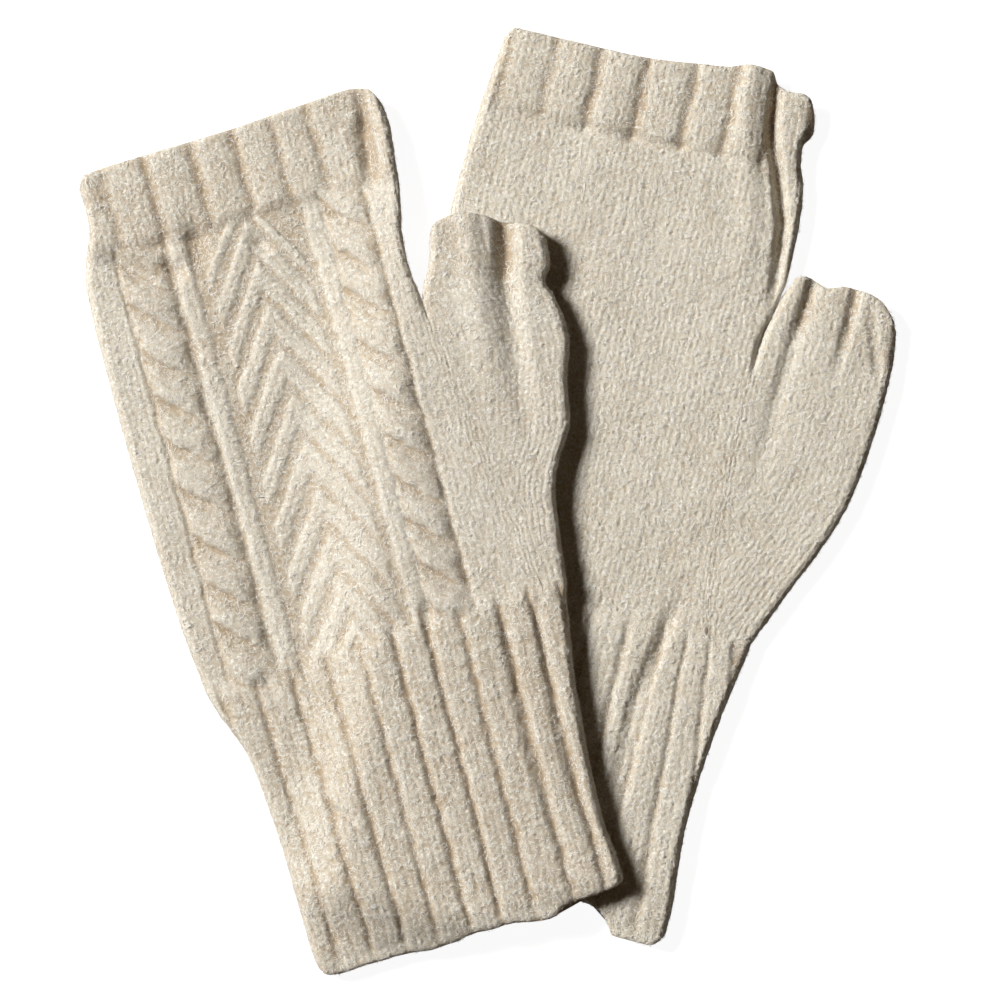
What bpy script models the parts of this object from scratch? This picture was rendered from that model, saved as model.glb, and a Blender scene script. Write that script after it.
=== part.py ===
"""A pair of fingerless knitted mittens, laid flat, the cabled one across the plain-palmed one.

Metres, +Z up. The mittens lie on z = 0, X runs to the right and Y towards the finger ends.
Each mitten is worked out in its own flat frame, in millimetres: `across` to the right and `down`
from the finger edge to the wrist hem. Every piece is a cloth wall lofted through sections:
its outer points carry the ribs and cables, and its inside is plain.
"""

from collections import namedtuple
from dataclasses import dataclass
from math import cos, pi, radians, sin

import bmesh
import bpy
import numpy as np

MM = 0.001

# Cloth and lay, in millimetres
WALL = 2.0  # the knitted cloth, without its ribs and cables
LAID = 5.6  # one mitten pressed flat: two walls and a little air
SIDE_FOLD = 3.2  # how far in from an outline the cloth has turned level
SEAM_GAP = 0.3
FLATTEST = 2 * WALL + 0.4  # two walls in the bottom of a fold
STACK = 7.2  # the height at which the front mitten lies on the rear one
RAMP_AT_HAND = 34.0  # the stretch over which it comes down to the table, beside the hand
RAMP_AT_HEM = 18.0  # and beside the hem, where less of it hangs over
RAMP_CLEARANCE = 1.5

# Knitted relief, in millimetres
KNUCKLE_RIB = 0.9
WRIST_RIB = 0.9
ROPE_PITCH = 12.5  # one crossing of a cable to the next
CHEVRON_PITCH = 12.4  # one chevron to the next
ROPE_HEIGHT = 1.3
CHEVRON_HEIGHT = 0.8
LINE_HEIGHT = 0.9

# How finely the sections are cut
FOLD_STEPS = 3
CABLE_ROWS_PER_PITCH = 5

Section = namedtuple("Section", "down left right")
Edge = namedtuple("Edge", "across drop")
GussetPoint = namedtuple("GussetPoint", "down across")
ThumbSection = namedtuple("ThumbSection", "left_across left_down right_across right_down")
Valley = namedtuple("Valley", "top bottom depth")
Fold = namedtuple("Fold", "down across rise before after")
Rope = namedtuple("Rope", "middle half_width first")
Chevron = namedtuple("Chevron", "middle left right left_angle right_angle first")


def ease(t):
    """Rises smoothly from 0 to 1 as t does."""
    t = np.clip(t, 0.0, 1.0)
    return t * t * (3.0 - 2.0 * t)


def smooth(x, xs, ys):
    """A curve through the points (xs, ys) that never overshoots them, held level past its ends."""
    x = np.clip(np.asarray(x, float), xs[0], xs[-1])
    xs, ys = np.asarray(xs, float), np.asarray(ys, float)
    step = np.diff(xs)
    rate = np.diff(ys) / step
    slope = np.zeros_like(xs)
    slope[0], slope[-1] = rate[0], rate[-1]
    same_way = rate[:-1] * rate[1:] > 0
    inner = np.zeros(len(xs) - 2)
    inner[same_way] = 2 * rate[:-1][same_way] * rate[1:][same_way] / (rate[:-1] + rate[1:])[same_way]
    slope[1:-1] = inner
    k = np.clip(np.searchsorted(xs, x, side="right") - 1, 0, len(xs) - 2)
    t = (x - xs[k]) / step[k]
    return (
        ys[k] * (1 + 2 * t) * (1 - t) ** 2
        + ys[k + 1] * t * t * (3 - 2 * t)
        + step[k] * (slope[k] * t * (1 - t) ** 2 - slope[k + 1] * t * t * (1 - t))
    )


def read(table, x, column, by="down"):
    """Reads a named column of a table at x, smoothly between its rows."""
    return smooth(x, [getattr(row, by) for row in table], [getattr(row, column) for row in table])


def hump(distance, half_width):
    """1 on a line, falling smoothly to 0 at half_width to either side of it."""
    return ease(1.0 - np.abs(distance) / half_width)


def ribs(across, share, valleys, half_width, height):
    """Height of a ribbed band: level ridges between the valleys, share being 0 at its top and 1 below."""
    raised = np.full(np.shape(across), height)
    for valley in valleys:
        middle = valley.top + (valley.bottom - valley.top) * share
        raised = raised - height * valley.depth * hump(across - middle, half_width)
    return raised


def rope(across, down, cable):
    """Height of a two-strand rope cable: each strand in turn crosses over from left to right."""
    strand = cable.half_width * 0.54
    turn = pi * ((down - cable.first) / ROPE_PITCH + 0.5)
    best = np.zeros(np.shape(across))
    for phase in (turn, turn + pi):
        off = across - cable.middle + cable.half_width * 0.5 * np.cos(phase)
        round_top = np.sqrt(np.clip(1.0 - (off / strand) ** 2, 0.0, 1.0))
        best = np.maximum(best, round_top * (0.62 + 0.38 * np.sin(phase)))
    return ROPE_HEIGHT * best


def chevrons(across, down, panel):
    """Height of the nested chevrons, each arm a ridge that runs down and out from the middle."""
    left = across < panel.middle
    angle = np.where(left, radians(panel.left_angle), radians(panel.right_angle))
    drop = np.abs(across - panel.middle) / np.tan(angle)
    phase = (down - drop - panel.first) / CHEVRON_PITCH
    off = (phase - np.round(phase)) * CHEVRON_PITCH * np.sin(angle)
    inside = ease((across - panel.left) / 1.5) * ease((panel.right - across) / 1.5)
    return CHEVRON_HEIGHT * hump(off, 2.9) * inside


@dataclass(frozen=True)
class Mitten:
    """One mitten's outline, seams and relief, in its own frame and in millimetres."""

    name: str
    x: float
    y: float
    turn: float  # degrees
    hand: tuple
    gusset: tuple
    thumb: tuple
    finger_edge: tuple
    thumb_edge: tuple
    hem_edge: tuple
    knuckle_seam: float
    knuckle_tilt: float
    wrist_seam: float
    wrist_tilt: float
    hem: float
    knuckle_valleys: tuple
    wrist_valleys: tuple
    folds: tuple
    cabled: bool  # the back of the hand faces up
    stacked: bool  # it lies on the other mitten

    def place(self, across, down):
        """Frame coordinates of a point of the mitten, still in millimetres."""
        c, s = cos(radians(self.turn)), sin(radians(self.turn))
        return self.x + across * c + down * s, self.y + across * s - down * c

    def locate(self, x, y):
        """The mitten's own coordinates of a point of the frame."""
        c, s = cos(radians(self.turn)), sin(radians(self.turn))
        x, y = x - self.x, y - self.y
        return x * c + y * s, x * s - y * c

    @property
    def crotch(self):
        """How far down the thumb leaves the hand."""
        return self.gusset[0].down

    def tilt(self, down):
        """How much a course of knitting leans, worked out from the two seams."""
        rows = (0.0, self.knuckle_seam, self.wrist_seam, self.hem)
        return float(np.interp(down, rows, (0.0, self.knuckle_tilt, self.wrist_tilt, 0.0)))

    def base(self, x, y):
        """Height of the underside: the table, or the mitten that this one lies on."""
        if not self.stacked:
            return np.zeros(np.shape(x))
        across, down = REAR.locate(x, y)
        edge = read(REAR.hand, down, "left") - RAMP_CLEARANCE
        ramp = smooth(down, (REAR.crotch, REAR.hem), (RAMP_AT_HAND, RAMP_AT_HEM))
        over = ease((across - edge + ramp) / ramp)
        past = ease((down - REAR.hem - RAMP_CLEARANCE) / RAMP_AT_HEM)
        return STACK * over * (1.0 - past)

    def thickness(self, across, down):
        """The laid thickness without ribs and cables: swollen or pressed in at the folds."""
        thick = np.full(np.shape(across), LAID)
        for fold in self.folds:
            middle = smooth(down, fold.down, fold.across)
            rise = smooth(down, fold.down, fold.rise)
            reach = np.where(across < middle, fold.before, fold.after)
            thick = thick + rise * hump(across - middle, reach)
        return np.maximum(thick, FLATTEST)

    def relief(self, across, down):
        """Height of the knitted relief on the upper side."""
        seam = self.knuckle_seam + self.knuckle_tilt * across
        wrist = self.wrist_seam + self.wrist_tilt * across
        knuckle = ribs(across, np.clip(down / seam, 0, 1), self.knuckle_valleys, 2.6, KNUCKLE_RIB)
        share = np.clip((down - wrist) / (self.hem - wrist), 0, 1)
        cuff = ribs(across, share, self.wrist_valleys, 2.2, WRIST_RIB)
        raised = knuckle * ease((seam + 2.0 - down) / 4.0)
        raised = raised + cuff * ease((down - wrist + 4.0) / 5.0)
        if self.cabled:
            body = ease((down - seam) / 4.0) * ease((wrist - down) / 4.0)
            raised = raised + body * self.cables(across, down)
        return raised

    def cables(self, across, down):
        """Height of the ropes, the upright lines and the chevrons of the back."""
        raised = chevrons(across, down, CHEVRONS)
        for cable in ROPES:
            raised = raised + rope(across, down, cable)
        for line in LINES:
            raised = raised + LINE_HEIGHT * hump(across - line, 2.6)
        return raised


# The front mitten: back of the hand up, its thumb to the right
FRONT = Mitten(
    name="front",
    x=-70.11,
    y=100.15,
    turn=15.0,
    hand=(
        Section(0, -42.6, 42.0),
        Section(9, -42.5, 42.6),
        Section(15, -43.1, 42.1),
        Section(20, -44.9, 41.6),
        Section(25, -46.4, 41.2),
        Section(31, -47.8, 40.3),
        Section(42, -48.3, 38.1),
        Section(50, -48.4, 37.7),
        Section(58, -48.4, 38.6),
        Section(100, -47.8, 43.0),
        Section(116, -47.2, 46.0),
        Section(131, -46.1, 52.0),
        Section(143, -44.7, 56.9),
        Section(149.4, -43.0, 55.5),
        Section(155.5, -40.7, 54.5),
        Section(162, -38.6, 53.4),
        Section(168, -37.5, 52.3),
        Section(179, -36.6, 51.2),
        Section(190, -35.8, 50.2),
        Section(207, -35.6, 49.6),
        Section(218, -35.5, 50.6),
        Section(226.8, -34.7, 50.9),
    ),
    gusset=(
        GussetPoint(58, 38.6),
        GussetPoint(76, 40.5),
        GussetPoint(100, 43.2),
        GussetPoint(120, 46.5),
        GussetPoint(144, 50.5),
    ),
    thumb=(
        ThumbSection(45.6, 37.6, 75.4, 46.6),
        ThumbSection(43.0, 48.0, 74.6, 56.6),
        ThumbSection(40.5, 54.0, 72.0, 62.4),
        ThumbSection(39.2, 58.0, 73.6, 67.2),
        ThumbSection(40.4, 72.0, 74.4, 77.0),
        ThumbSection(41.9, 88.0, 70.9, 89.0),
        ThumbSection(43.2, 99.0, 68.0, 100.5),
        ThumbSection(44.5, 108.0, 62.4, 109.0),
        ThumbSection(46.0, 117.0, 59.5, 117.0),
        ThumbSection(50.0, 140.8, 56.9, 140.4),
    ),
    finger_edge=(
        Edge(-43, 3.5),
        Edge(-40, 2.1),
        Edge(-30, 1.4),
        Edge(0, 0.5),
        Edge(20, -0.9),
        Edge(34, -1.7),
        Edge(39, -0.6),
        Edge(43, 3.4),
    ),
    thumb_edge=(
        Edge(45.5, 3.2),
        Edge(47.3, 1.2),
        Edge(50, -0.3),
        Edge(54, -1.9),
        Edge(57.5, -1.9),
        Edge(61, -1.5),
        Edge(63, -0.4),
        Edge(66, 0.5),
        Edge(72, 0.6),
        Edge(75.2, 3.4),
    ),
    hem_edge=(
        Edge(-35, -1.2),
        Edge(-32, 0),
        Edge(28, 0),
        Edge(33, -1.8),
        Edge(47, -2.6),
        Edge(51, -3.8),
    ),
    knuckle_seam=24.0,
    knuckle_tilt=-0.02,
    wrist_seam=143.6,
    wrist_tilt=-0.06,
    hem=226.8,
    knuckle_valleys=(
        Valley(-36.2, -35.5, 0.5),
        Valley(-23.8, -23.8, 1.0),
        Valley(-10.8, -10.6, 1.0),
        Valley(1.1, 1.3, 1.0),
        Valley(11.9, 12.2, 0.6),
        Valley(21.6, 22.4, 0.6),
    ),
    wrist_valleys=(
        Valley(-36.0, -28.0, 0.7),
        Valley(-28.4, -19.8, 1.0),
        Valley(-18.0, -10.6, 1.0),
        Valley(-3.0, -1.2, 1.0),
        Valley(7.6, 8.0, 1.0),
        Valley(17.3, 17.3, 1.0),
        Valley(26.4, 26.0, 1.0),
        Valley(37.8, 37.4, 1.3),
        Valley(47.0, 46.0, 1.3),
    ),
    folds=(
        # the thumb's fold, and the swell of its near bank
        Fold((36, 44, 64, 86, 110), (68.0, 65.9, 61.7, 58.8, 56.5), (-1.2, -1.2, -1.2, -0.7, 0), 5.0, 3.0),
        Fold((36, 64, 100), (57.0, 53.0, 50.0), (1.3, 1.1, 0), 7.0, 5.0),
        # the dimple beside the right corner of the finger edge
        Fold((6, 11, 19, 27), (34.5, 33.8, 33.3, 32.5), (0, -1.2, -1.2, 0), 3.4, 3.0),
        # the puckers under the knuckle band
        Fold((24, 28, 34), (-29.0, -29.0, -29.0), (0, -0.9, 0), 9.0, 7.0),
        Fold((22, 27, 33), (-15.8, -15.8, -15.8), (0, -1.1, 0), 4.0, 4.0),
        # the two folds that run down the wrist on its thumb side
        Fold((138, 150, 200, 224), (40.0, 37.4, 36.0, 38.2), (0, -0.8, -0.8, -0.2), 3.2, 3.2),
        Fold((136, 148, 196, 224), (50.0, 47.4, 44.4, 47.0), (0, -0.9, -0.9, -0.3), 3.2, 3.2),
    ),
    cabled=True,
    stacked=True,
)

# The rear mitten: palm up, its thumb to the right, under the front one
REAR = Mitten(
    name="rear",
    x=46.99,
    y=118.35,
    turn=-13.0,
    hand=(
        Section(0, -42.7, 43.6),
        Section(4.7, -43.2, 44.3),
        Section(8, -43.5, 43.8),
        Section(13, -44.0, 42.4),
        Section(18, -44.5, 42.9),
        Section(24, -45.1, 44.6),
        Section(30, -45.5, 45.7),
        Section(40, -46.0, 46.2),
        Section(50, -46.4, 46.2),
        Section(58, -46.6, 45.0),
        Section(70, -46.7, 42.8),
        Section(104, -45.9, 42.4),
        Section(131, -43.2, 52.0),
        Section(150, -40.2, 58.8),
        Section(158, -38.4, 57.6),
        Section(168, -36.0, 55.8),
        Section(178, -34.2, 54.4),
        Section(190, -32.9, 53.2),
        Section(200, -32.4, 52.8),
        Section(212, -32.2, 53.4),
        Section(225, -32.2, 54.2),
        Section(232.5, -31.8, 53.8),
    ),
    gusset=(
        GussetPoint(70, 42.8),
        GussetPoint(90, 42.2),
        GussetPoint(117, 42.6),
        GussetPoint(136, 44.4),
        GussetPoint(152, 47.4),
    ),
    thumb=(
        ThumbSection(47.2, 48.4, 78.0, 50.2),
        ThumbSection(45.7, 56.6, 78.9, 60.0),
        ThumbSection(44.3, 64.4, 79.2, 67.6),
        ThumbSection(43.2, 70.0, 79.1, 75.0),
        ThumbSection(42.4, 88.0, 78.2, 90.0),
        ThumbSection(42.3, 103.0, 76.2, 104.0),
        ThumbSection(42.6, 117.0, 71.9, 117.4),
        ThumbSection(43.8, 130.0, 66.2, 130.4),
        ThumbSection(46.6, 150.0, 58.8, 150.0),
    ),
    finger_edge=(
        Edge(-43, 1.6),
        Edge(-40, 0.1),
        Edge(-10, 0.2),
        Edge(0, -0.3),
        Edge(10, -1.6),
        Edge(17.5, -2.5),
        Edge(24.3, -4.5),
        Edge(29.7, -4.1),
        Edge(32.0, -0.9),
        Edge(35, 0.4),
        Edge(39, 0),
        Edge(42, 1.4),
        Edge(44.2, 4.6),
    ),
    thumb_edge=(
        Edge(47, 2.6),
        Edge(48.6, 0.1),
        Edge(51.3, -0.8),
        Edge(55.4, 0.2),
        Edge(57.2, 0.7),
        Edge(59, 0),
        Edge(62, -1.2),
        Edge(67.5, -1.3),
        Edge(71.6, -0.4),
        Edge(75.6, 2.7),
        Edge(78.2, 6.0),
    ),
    hem_edge=(
        Edge(-32, -7.5),
        Edge(28, -7.5),
        Edge(34.5, -6.0),
        Edge(38, -3.0),
        Edge(40, 0),
        Edge(50, 0.3),
        Edge(54, -2.4),
    ),
    knuckle_seam=21.5,
    knuckle_tilt=0.0,
    wrist_seam=150.0,
    wrist_tilt=-0.04,
    hem=232.5,
    knuckle_valleys=(
        Valley(-28.4, -28.4, 0.5),
        Valley(-16.2, -16.2, 1.0),
        Valley(-3.2, -3.2, 1.0),
        Valley(10.0, 10.0, 0.9),
        Valley(20.8, 21.4, 1.0),
    ),
    wrist_valleys=(
        Valley(-31.0, -22.0, 0.8),
        Valley(-21.5, -13.5, 1.0),
        Valley(-12.0, -5.0, 1.0),
        Valley(-3.0, 3.8, 1.0),
        Valley(6.0, 12.6, 1.0),
        Valley(14.5, 21.4, 1.0),
        Valley(23.5, 28.6, 1.0),
        Valley(32.4, 37.4, 1.0),
        Valley(40.5, 46.0, 1.0),
    ),
    folds=(
        # the palm's edge folds in along the side of the fingers, and swells before it does
        Fold(
            (-5, 9, 16, 23, 30, 36, 50, 60),
            (31.8, 32.7, 34.6, 37.5, 40.0, 41.6, 43.2, 43.0),
            (-1.2, -1.2, -1.2, -1.2, -1.2, -1.1, -0.8, 0),
            3.4,
            2.2,
        ),
        Fold((-5, 9, 23, 40, 56), (24.0, 25.5, 29.5, 33.0, 34.0), (1.4, 1.2, 0.9, 0.6, 0), 7.0, 5.0),
        # the fold at the foot of the thumb, and the weaker one beside it
        Fold((46, 54, 66, 90, 118), (54.0, 53.2, 51.8, 50.4, 50.0), (-0.9, -0.9, -0.9, -0.6, 0), 3.4, 6.0),
        Fold((46, 54, 67, 76), (65.4, 65.0, 64.6, 64.4), (-0.6, -0.6, -0.4, 0), 2.6, 2.6),
        # the crease that runs from the palm into the wrist
        Fold((140, 152, 172, 200), (36.5, 34.6, 32.4, 34.5), (0, -0.8, -0.7, 0), 3.0, 3.0),
    ),
    cabled=False,
    stacked=False,
)

ROPES = (Rope(-31.2, 6.4, 26.6), Rope(25.1, 5.9, 24.2))
LINES = (-21.1, 16.5)
CHEVRONS = Chevron(-1.5, -15.7, 12.2, 34.0, 30.0, 29.2)


@dataclass(frozen=True)
class Sheet:
    """Points of a wall, outer and inner, as grids of rows by columns."""

    outer: np.ndarray
    inner: np.ndarray


def even(count):
    """Columns spread evenly over the level cloth."""
    return lambda left, right: np.linspace(left, right, count)


def held(first, last, count, before, after):
    """Columns that stay on the knitted relief from first to last, with plain cloth beside them."""

    def columns(left, right):
        start = np.linspace(left, first, before + 1)[:-1]
        end = np.linspace(last, right, after + 1)[1:]
        return np.concatenate([start, np.linspace(first, last, count), end])

    return columns


def course(mitten, down, edge=0.0, hem=0.0):
    """A function from across to down for one course, leaning with the seams and cut by the edges."""
    tilt = mitten.tilt(down)

    def at(across):
        drop = edge * read(mitten.finger_edge, across, "drop", "across")
        rise = hem * read(mitten.hem_edge, across, "drop", "across")
        return down + tilt * across + drop + rise

    return at


def layer_row(mitten, upper, ends, turns, at, columns):
    """One row of a layer from its left to its right end, as outer and inner (x, y, z) points.

    turns says how far the cloth turns over at each end, from 0, a straight cut, to 1, half of
    a side fold. `at` gives how far down each across position lies.
    """
    left, right = ends
    bend = min(SIDE_FOLD, 0.42 * (right - left))
    angles = np.linspace(0.0, pi / 2, FOLD_STEPS + 1)[:-1]
    folded = bend * (1.0 - np.cos(angles))
    level = columns(left + bend, right - bend)
    across = np.concatenate([left + folded, level, (right - folded)[::-1]])
    sides = np.zeros(FOLD_STEPS)
    flat = np.zeros(len(level))
    closing = 1.0 - np.concatenate(
        [turns[0] * (1.0 - np.sin(angles)), flat, turns[1] * (1.0 - np.sin(angles))[::-1]]
    )
    inset = WALL * np.concatenate([turns[0] * np.cos(angles), flat, sides])
    inset = inset - WALL * np.concatenate([sides, flat, turns[1] * np.cos(angles)[::-1]])
    side = 1.0 if upper else -1.0
    layers = []
    for wall, places in ((0.0, across), (WALL, across + inset)):
        down = at(places)
        x, y = mitten.place(places, down)
        half = mitten.thickness(places, down) / 2
        height = mitten.base(x, y) + half + side * (half - wall) * closing
        if upper and wall == 0.0:
            height = height + mitten.relief(places, down) * closing
        layers.append(np.column_stack([x, y, height]))
    return layers


def turning_at_crotch(mitten, down):
    """How far the cloth beside the gusset is turned over: wholly above the crotch, not below."""
    return float(ease((mitten.crotch + 9.0 - down) / 9.0))


def hand_end(mitten, down, at):
    """Where a course of the hand ends on its thumb side, half a seam gap off the gusset."""
    right = read(mitten.hand, down, "right")
    if at(right) > mitten.crotch:
        for _ in range(4):
            right = read(mitten.gusset, at(right), "across")
    return float(right) - SEAM_GAP / 2


def hand_panel(mitten, upper, rows, columns):
    """The back or the palm: one layer of cloth from the knuckle band to the wrist."""
    downs = np.linspace(mitten.knuckle_seam + SEAM_GAP / 2, mitten.wrist_seam - SEAM_GAP / 2, rows)
    grid, turned = [], []
    for down in downs:
        at = course(mitten, down)
        ends = float(read(mitten.hand, down, "left")), hand_end(mitten, down, at)
        turned.append(turning_at_crotch(mitten, at(ends[1])))
        grid.append(layer_row(mitten, upper, ends, (1.0, turned[-1]), at, columns))
    outer, inner = (np.array(layer) for layer in zip(*grid, strict=True))
    shift = SEAM_GAP / 2 if upper else -SEAM_GAP / 2
    for layer in (outer, inner):
        layer[:, 0, 2] += shift
        layer[:, -1, 2] += shift * np.array(turned)
    return Sheet(outer, inner)


def ring(mitten, ends, turns, at, columns, columns_below):
    """One section of a tube: over the top from left to right, then back underneath."""
    top = layer_row(mitten, True, ends, turns, at, columns)
    low = layer_row(mitten, False, ends, turns, at, columns_below)
    return [np.concatenate([above, below[::-1][1:]]) for above, below in zip(top, low, strict=True)]


def sheet_of(rings):
    """A sheet through sections."""
    outer, inner = (np.array(layer) for layer in zip(*rings, strict=True))
    return Sheet(outer, inner)


def band(mitten, downs, edges, hems, count, count_below):
    """A tube of ribbing through the given courses."""
    outline = [(float(read(mitten.hand, d, "left")), float(read(mitten.hand, d, "right"))) for d in downs]
    first = max(left for left, _ in outline) + SIDE_FOLD + 0.5
    last = min(right for _, right in outline) - SIDE_FOLD - 0.5
    columns = held(first, last, count, 1, 1)
    rings = []
    for down, edge, hem, ends in zip(downs, edges, hems, outline, strict=True):
        at = course(mitten, down, edge, hem)
        rings.append(ring(mitten, ends, (1.0, 1.0), at, columns, even(count_below)))
    return sheet_of(rings)


def thumb_seam(mitten):
    """The share of the thumb's length at which its ribbing ends: the table's third section."""
    return 2 / (len(mitten.thumb) - 1)


def thumb_section(mitten, share):
    """The two ends of the thumb's section at a share of its way down, and its line between them."""
    places = np.linspace(0.0, 1.0, len(mitten.thumb))
    columns = ThumbSection._fields
    left, left_down, right, right_down = (
        float(smooth(share, places, [getattr(row, column) for row in mitten.thumb])) for column in columns
    )
    if left_down > mitten.crotch - 1e-6:
        left = float(read(mitten.gusset, left_down, "across")) + SEAM_GAP / 2

    edge = max(0.0, 1.0 - share / thumb_seam(mitten))

    def at(across):
        down = left_down + (right_down - left_down) * (across - left) / (right - left)
        down = down + edge * read(mitten.thumb_edge, across, "drop", "across")
        return np.minimum(down, mitten.wrist_seam + mitten.wrist_tilt * across - SEAM_GAP / 2)

    return (left, right), at


def thumb_rings(mitten, shares):
    """The thumb's sections: a tube above the crotch, open to the hand below it."""
    rings = []
    for share in shares:
        ends, at = thumb_section(mitten, share)
        turns = turning_at_crotch(mitten, at(ends[0])), 1.0
        rings.append(ring(mitten, ends, turns, at, even(17), even(9)))
    return rings


def stitch(fine, coarse):
    """Triangles between a run of points and the fewer points that face them."""
    faces = []
    step = (len(fine) - 1) // (len(coarse) - 1)
    for k in range(len(coarse) - 1):
        middle = k * step + step // 2
        for i in range(k * step, (k + 1) * step):
            faces.append((fine[i], fine[i + 1], coarse[k] if i < middle else coarse[k + 1]))
        faces.append((fine[middle], coarse[k + 1], coarse[k]))
    return faces


def wall_mesh(name, sheet, row_step, col_step, tube_rows=(0, 0)):
    """A closed wall between a sheet's outer points and every few of its inner ones.

    tube_rows are the first and last rows between which the two side ends meet, so that the wall
    is a tube there. Elsewhere it is closed along both side ends.
    """
    bm = bmesh.new()
    outer = [[bm.verts.new(p * MM) for p in row] for row in sheet.outer]
    inner = [[bm.verts.new(p * MM) for p in row[::col_step]] for row in sheet.inner[::row_step]]
    faces = []
    for grid in (outer, inner):
        for row, below in zip(grid[:-1], grid[1:], strict=True):
            faces += [(row[j], below[j], below[j + 1], row[j + 1]) for j in range(len(row) - 1)]
    faces += stitch(outer[0], inner[0]) + stitch(outer[-1], inner[-1])
    for first, last in ((0, tube_rows[0]), (tube_rows[1], len(outer) - 1)):
        for j in (0, -1):
            if last > first:
                fine = [row[j] for row in outer[first : last + 1]]
                coarse = [row[j] for row in inner[first // row_step : last // row_step + 1]]
                faces += stitch(fine, coarse)
    for face in faces:
        bm.faces.new(face)
    bmesh.ops.remove_doubles(bm, verts=bm.verts, dist=1e-6)
    bmesh.ops.recalc_face_normals(bm, faces=bm.faces)
    bmesh.ops.triangulate(bm, faces=[face for face in bm.faces if len(face.verts) > 3])
    mesh = bpy.data.meshes.new(name)
    bm.to_mesh(mesh)
    bm.free()
    mesh.shade_smooth()
    mesh.set_sharp_from_angle(angle=radians(50))
    return mesh


def knuckle_rib(mitten):
    """The ribbed tube round the fingers."""
    downs = np.linspace(0.0, mitten.knuckle_seam - SEAM_GAP / 2, 6)
    edges = 1.0 - downs / mitten.knuckle_seam
    sheet = band(mitten, downs, edges, np.zeros(6), 47, 13)
    return wall_mesh(f"{mitten.name}_knuckle_rib", sheet, 5, 2, (0, 5))


def wrist_rib(mitten):
    """The ribbed tube round the wrist, down to the hem."""
    downs = np.linspace(mitten.wrist_seam + SEAM_GAP / 2, mitten.hem, 11)
    hems = ease((downs - mitten.hem + 24.0) / 24.0)
    sheet = band(mitten, downs, np.zeros(11), hems, 47, 17)
    return wall_mesh(f"{mitten.name}_wrist_rib", sheet, 2, 2, (0, 10))


def share_of_gap(mitten, share):
    """The share of the thumb's length that half a seam gap takes up."""
    probe = 0.01
    travels = []
    for end in (0, 1):
        (near_ends, near), (far_ends, far) = (thumb_section(mitten, s) for s in (share, share + probe))
        travels.append(far(far_ends[end]) - near(near_ends[end]))
    return SEAM_GAP / 2 * probe / min(travels)


def thumb_rib(mitten):
    """The ribbed tube round the thumb opening."""
    seam = thumb_seam(mitten)
    last = seam - share_of_gap(mitten, seam)
    sheet = sheet_of(thumb_rings(mitten, np.linspace(0.0, last, 5)))
    return wall_mesh(f"{mitten.name}_thumb_rib", sheet, 2, 2, (0, 4))


def thumb(mitten):
    """The short thumb tube and the gusset that it grows out of."""
    seam = thumb_seam(mitten)
    crotch = seam * 3 / 2
    tube = np.linspace(seam + share_of_gap(mitten, seam), crotch, 3)
    gusset = np.linspace(crotch, 1.0, 17)[1:]
    sheet = sheet_of(thumb_rings(mitten, np.concatenate([tube, gusset])))
    return wall_mesh(f"{mitten.name}_thumb", sheet, 2, 2, (0, 2))


def upper_panel(mitten):
    """The side of the hand that faces up."""
    if not mitten.cabled:
        return wall_mesh("upper", hand_panel(mitten, True, 25, even(20)), 2, 1)
    pitches = (mitten.wrist_seam - mitten.knuckle_seam) / ROPE_PITCH
    rows = round(pitches * CABLE_ROWS_PER_PITCH / 3) * 3 + 1
    columns = held(ROPES[0].middle - 6.4, ROPES[1].middle + 6.0, 31, 3, 3)
    return wall_mesh("upper", hand_panel(mitten, True, rows, columns), 3, 3)


def lower_panel(mitten):
    """The side of the hand that faces down, plain because it lies flat."""
    count = 18 if mitten.stacked else 12
    return wall_mesh("lower", hand_panel(mitten, False, 21, even(count)), 1, 1)


def make_material(name, colour, roughness):
    """A plain wool finish."""
    material = bpy.data.materials.new(name)
    material.use_nodes = True
    shader = material.node_tree.nodes["Principled BSDF"]
    shader.inputs["Base Color"].default_value = (*colour, 1.0)
    shader.inputs["Roughness"].default_value = roughness
    shader.inputs["Metallic"].default_value = 0.0
    return material


def add_piece(name, mesh, collection, colour):
    """One knitted piece as an object of its own."""
    piece = bpy.data.objects.new(name, mesh)
    mesh.materials.append(make_material(f"{name}_wool", colour, 0.95))
    collection.objects.link(piece)
    return piece


def build_mitten(mitten, collection, colour):
    """All six pieces of one mitten."""
    upper, lower = upper_panel(mitten), lower_panel(mitten)
    back, palm = (upper, lower) if mitten.cabled else (lower, upper)
    pieces = {
        "knuckle_rib": knuckle_rib(mitten),
        "back_panel": back,
        "palm_panel": palm,
        "thumb": thumb(mitten),
        "thumb_rib": thumb_rib(mitten),
        "wrist_rib": wrist_rib(mitten),
    }
    for name, mesh in pieces.items():
        mesh.name = f"{mitten.name}_{name}"
        add_piece(mesh.name, mesh, collection, colour)


def clear_scene():
    """Empties the scene of everything it starts with."""
    for thing in list(bpy.data.objects):
        bpy.data.objects.remove(thing, do_unlink=True)


def main():
    """Builds both mittens."""
    clear_scene()
    collection = bpy.data.collections.new("mittens")
    bpy.context.scene.collection.children.link(collection)
    build_mitten(FRONT, collection, (0.76, 0.70, 0.58))
    build_mitten(REAR, collection, (0.74, 0.68, 0.55))


main()
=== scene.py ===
"""Dresses a pair of fingerless wool mittens, laid flat, the cabled one across the plain-palmed one.

Each mitten is worked out in its own flat frame, in millimetres: `across` to the right and `down`
from the finger edge to the wrist hem. Every piece is one closed wall of cloth whose outer points
follow the knitting stitch by stitch.
"""

import logging
from collections.abc import Callable
from dataclasses import dataclass
from enum import Enum
from math import cos, pi, radians, sin
from typing import NamedTuple

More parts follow.
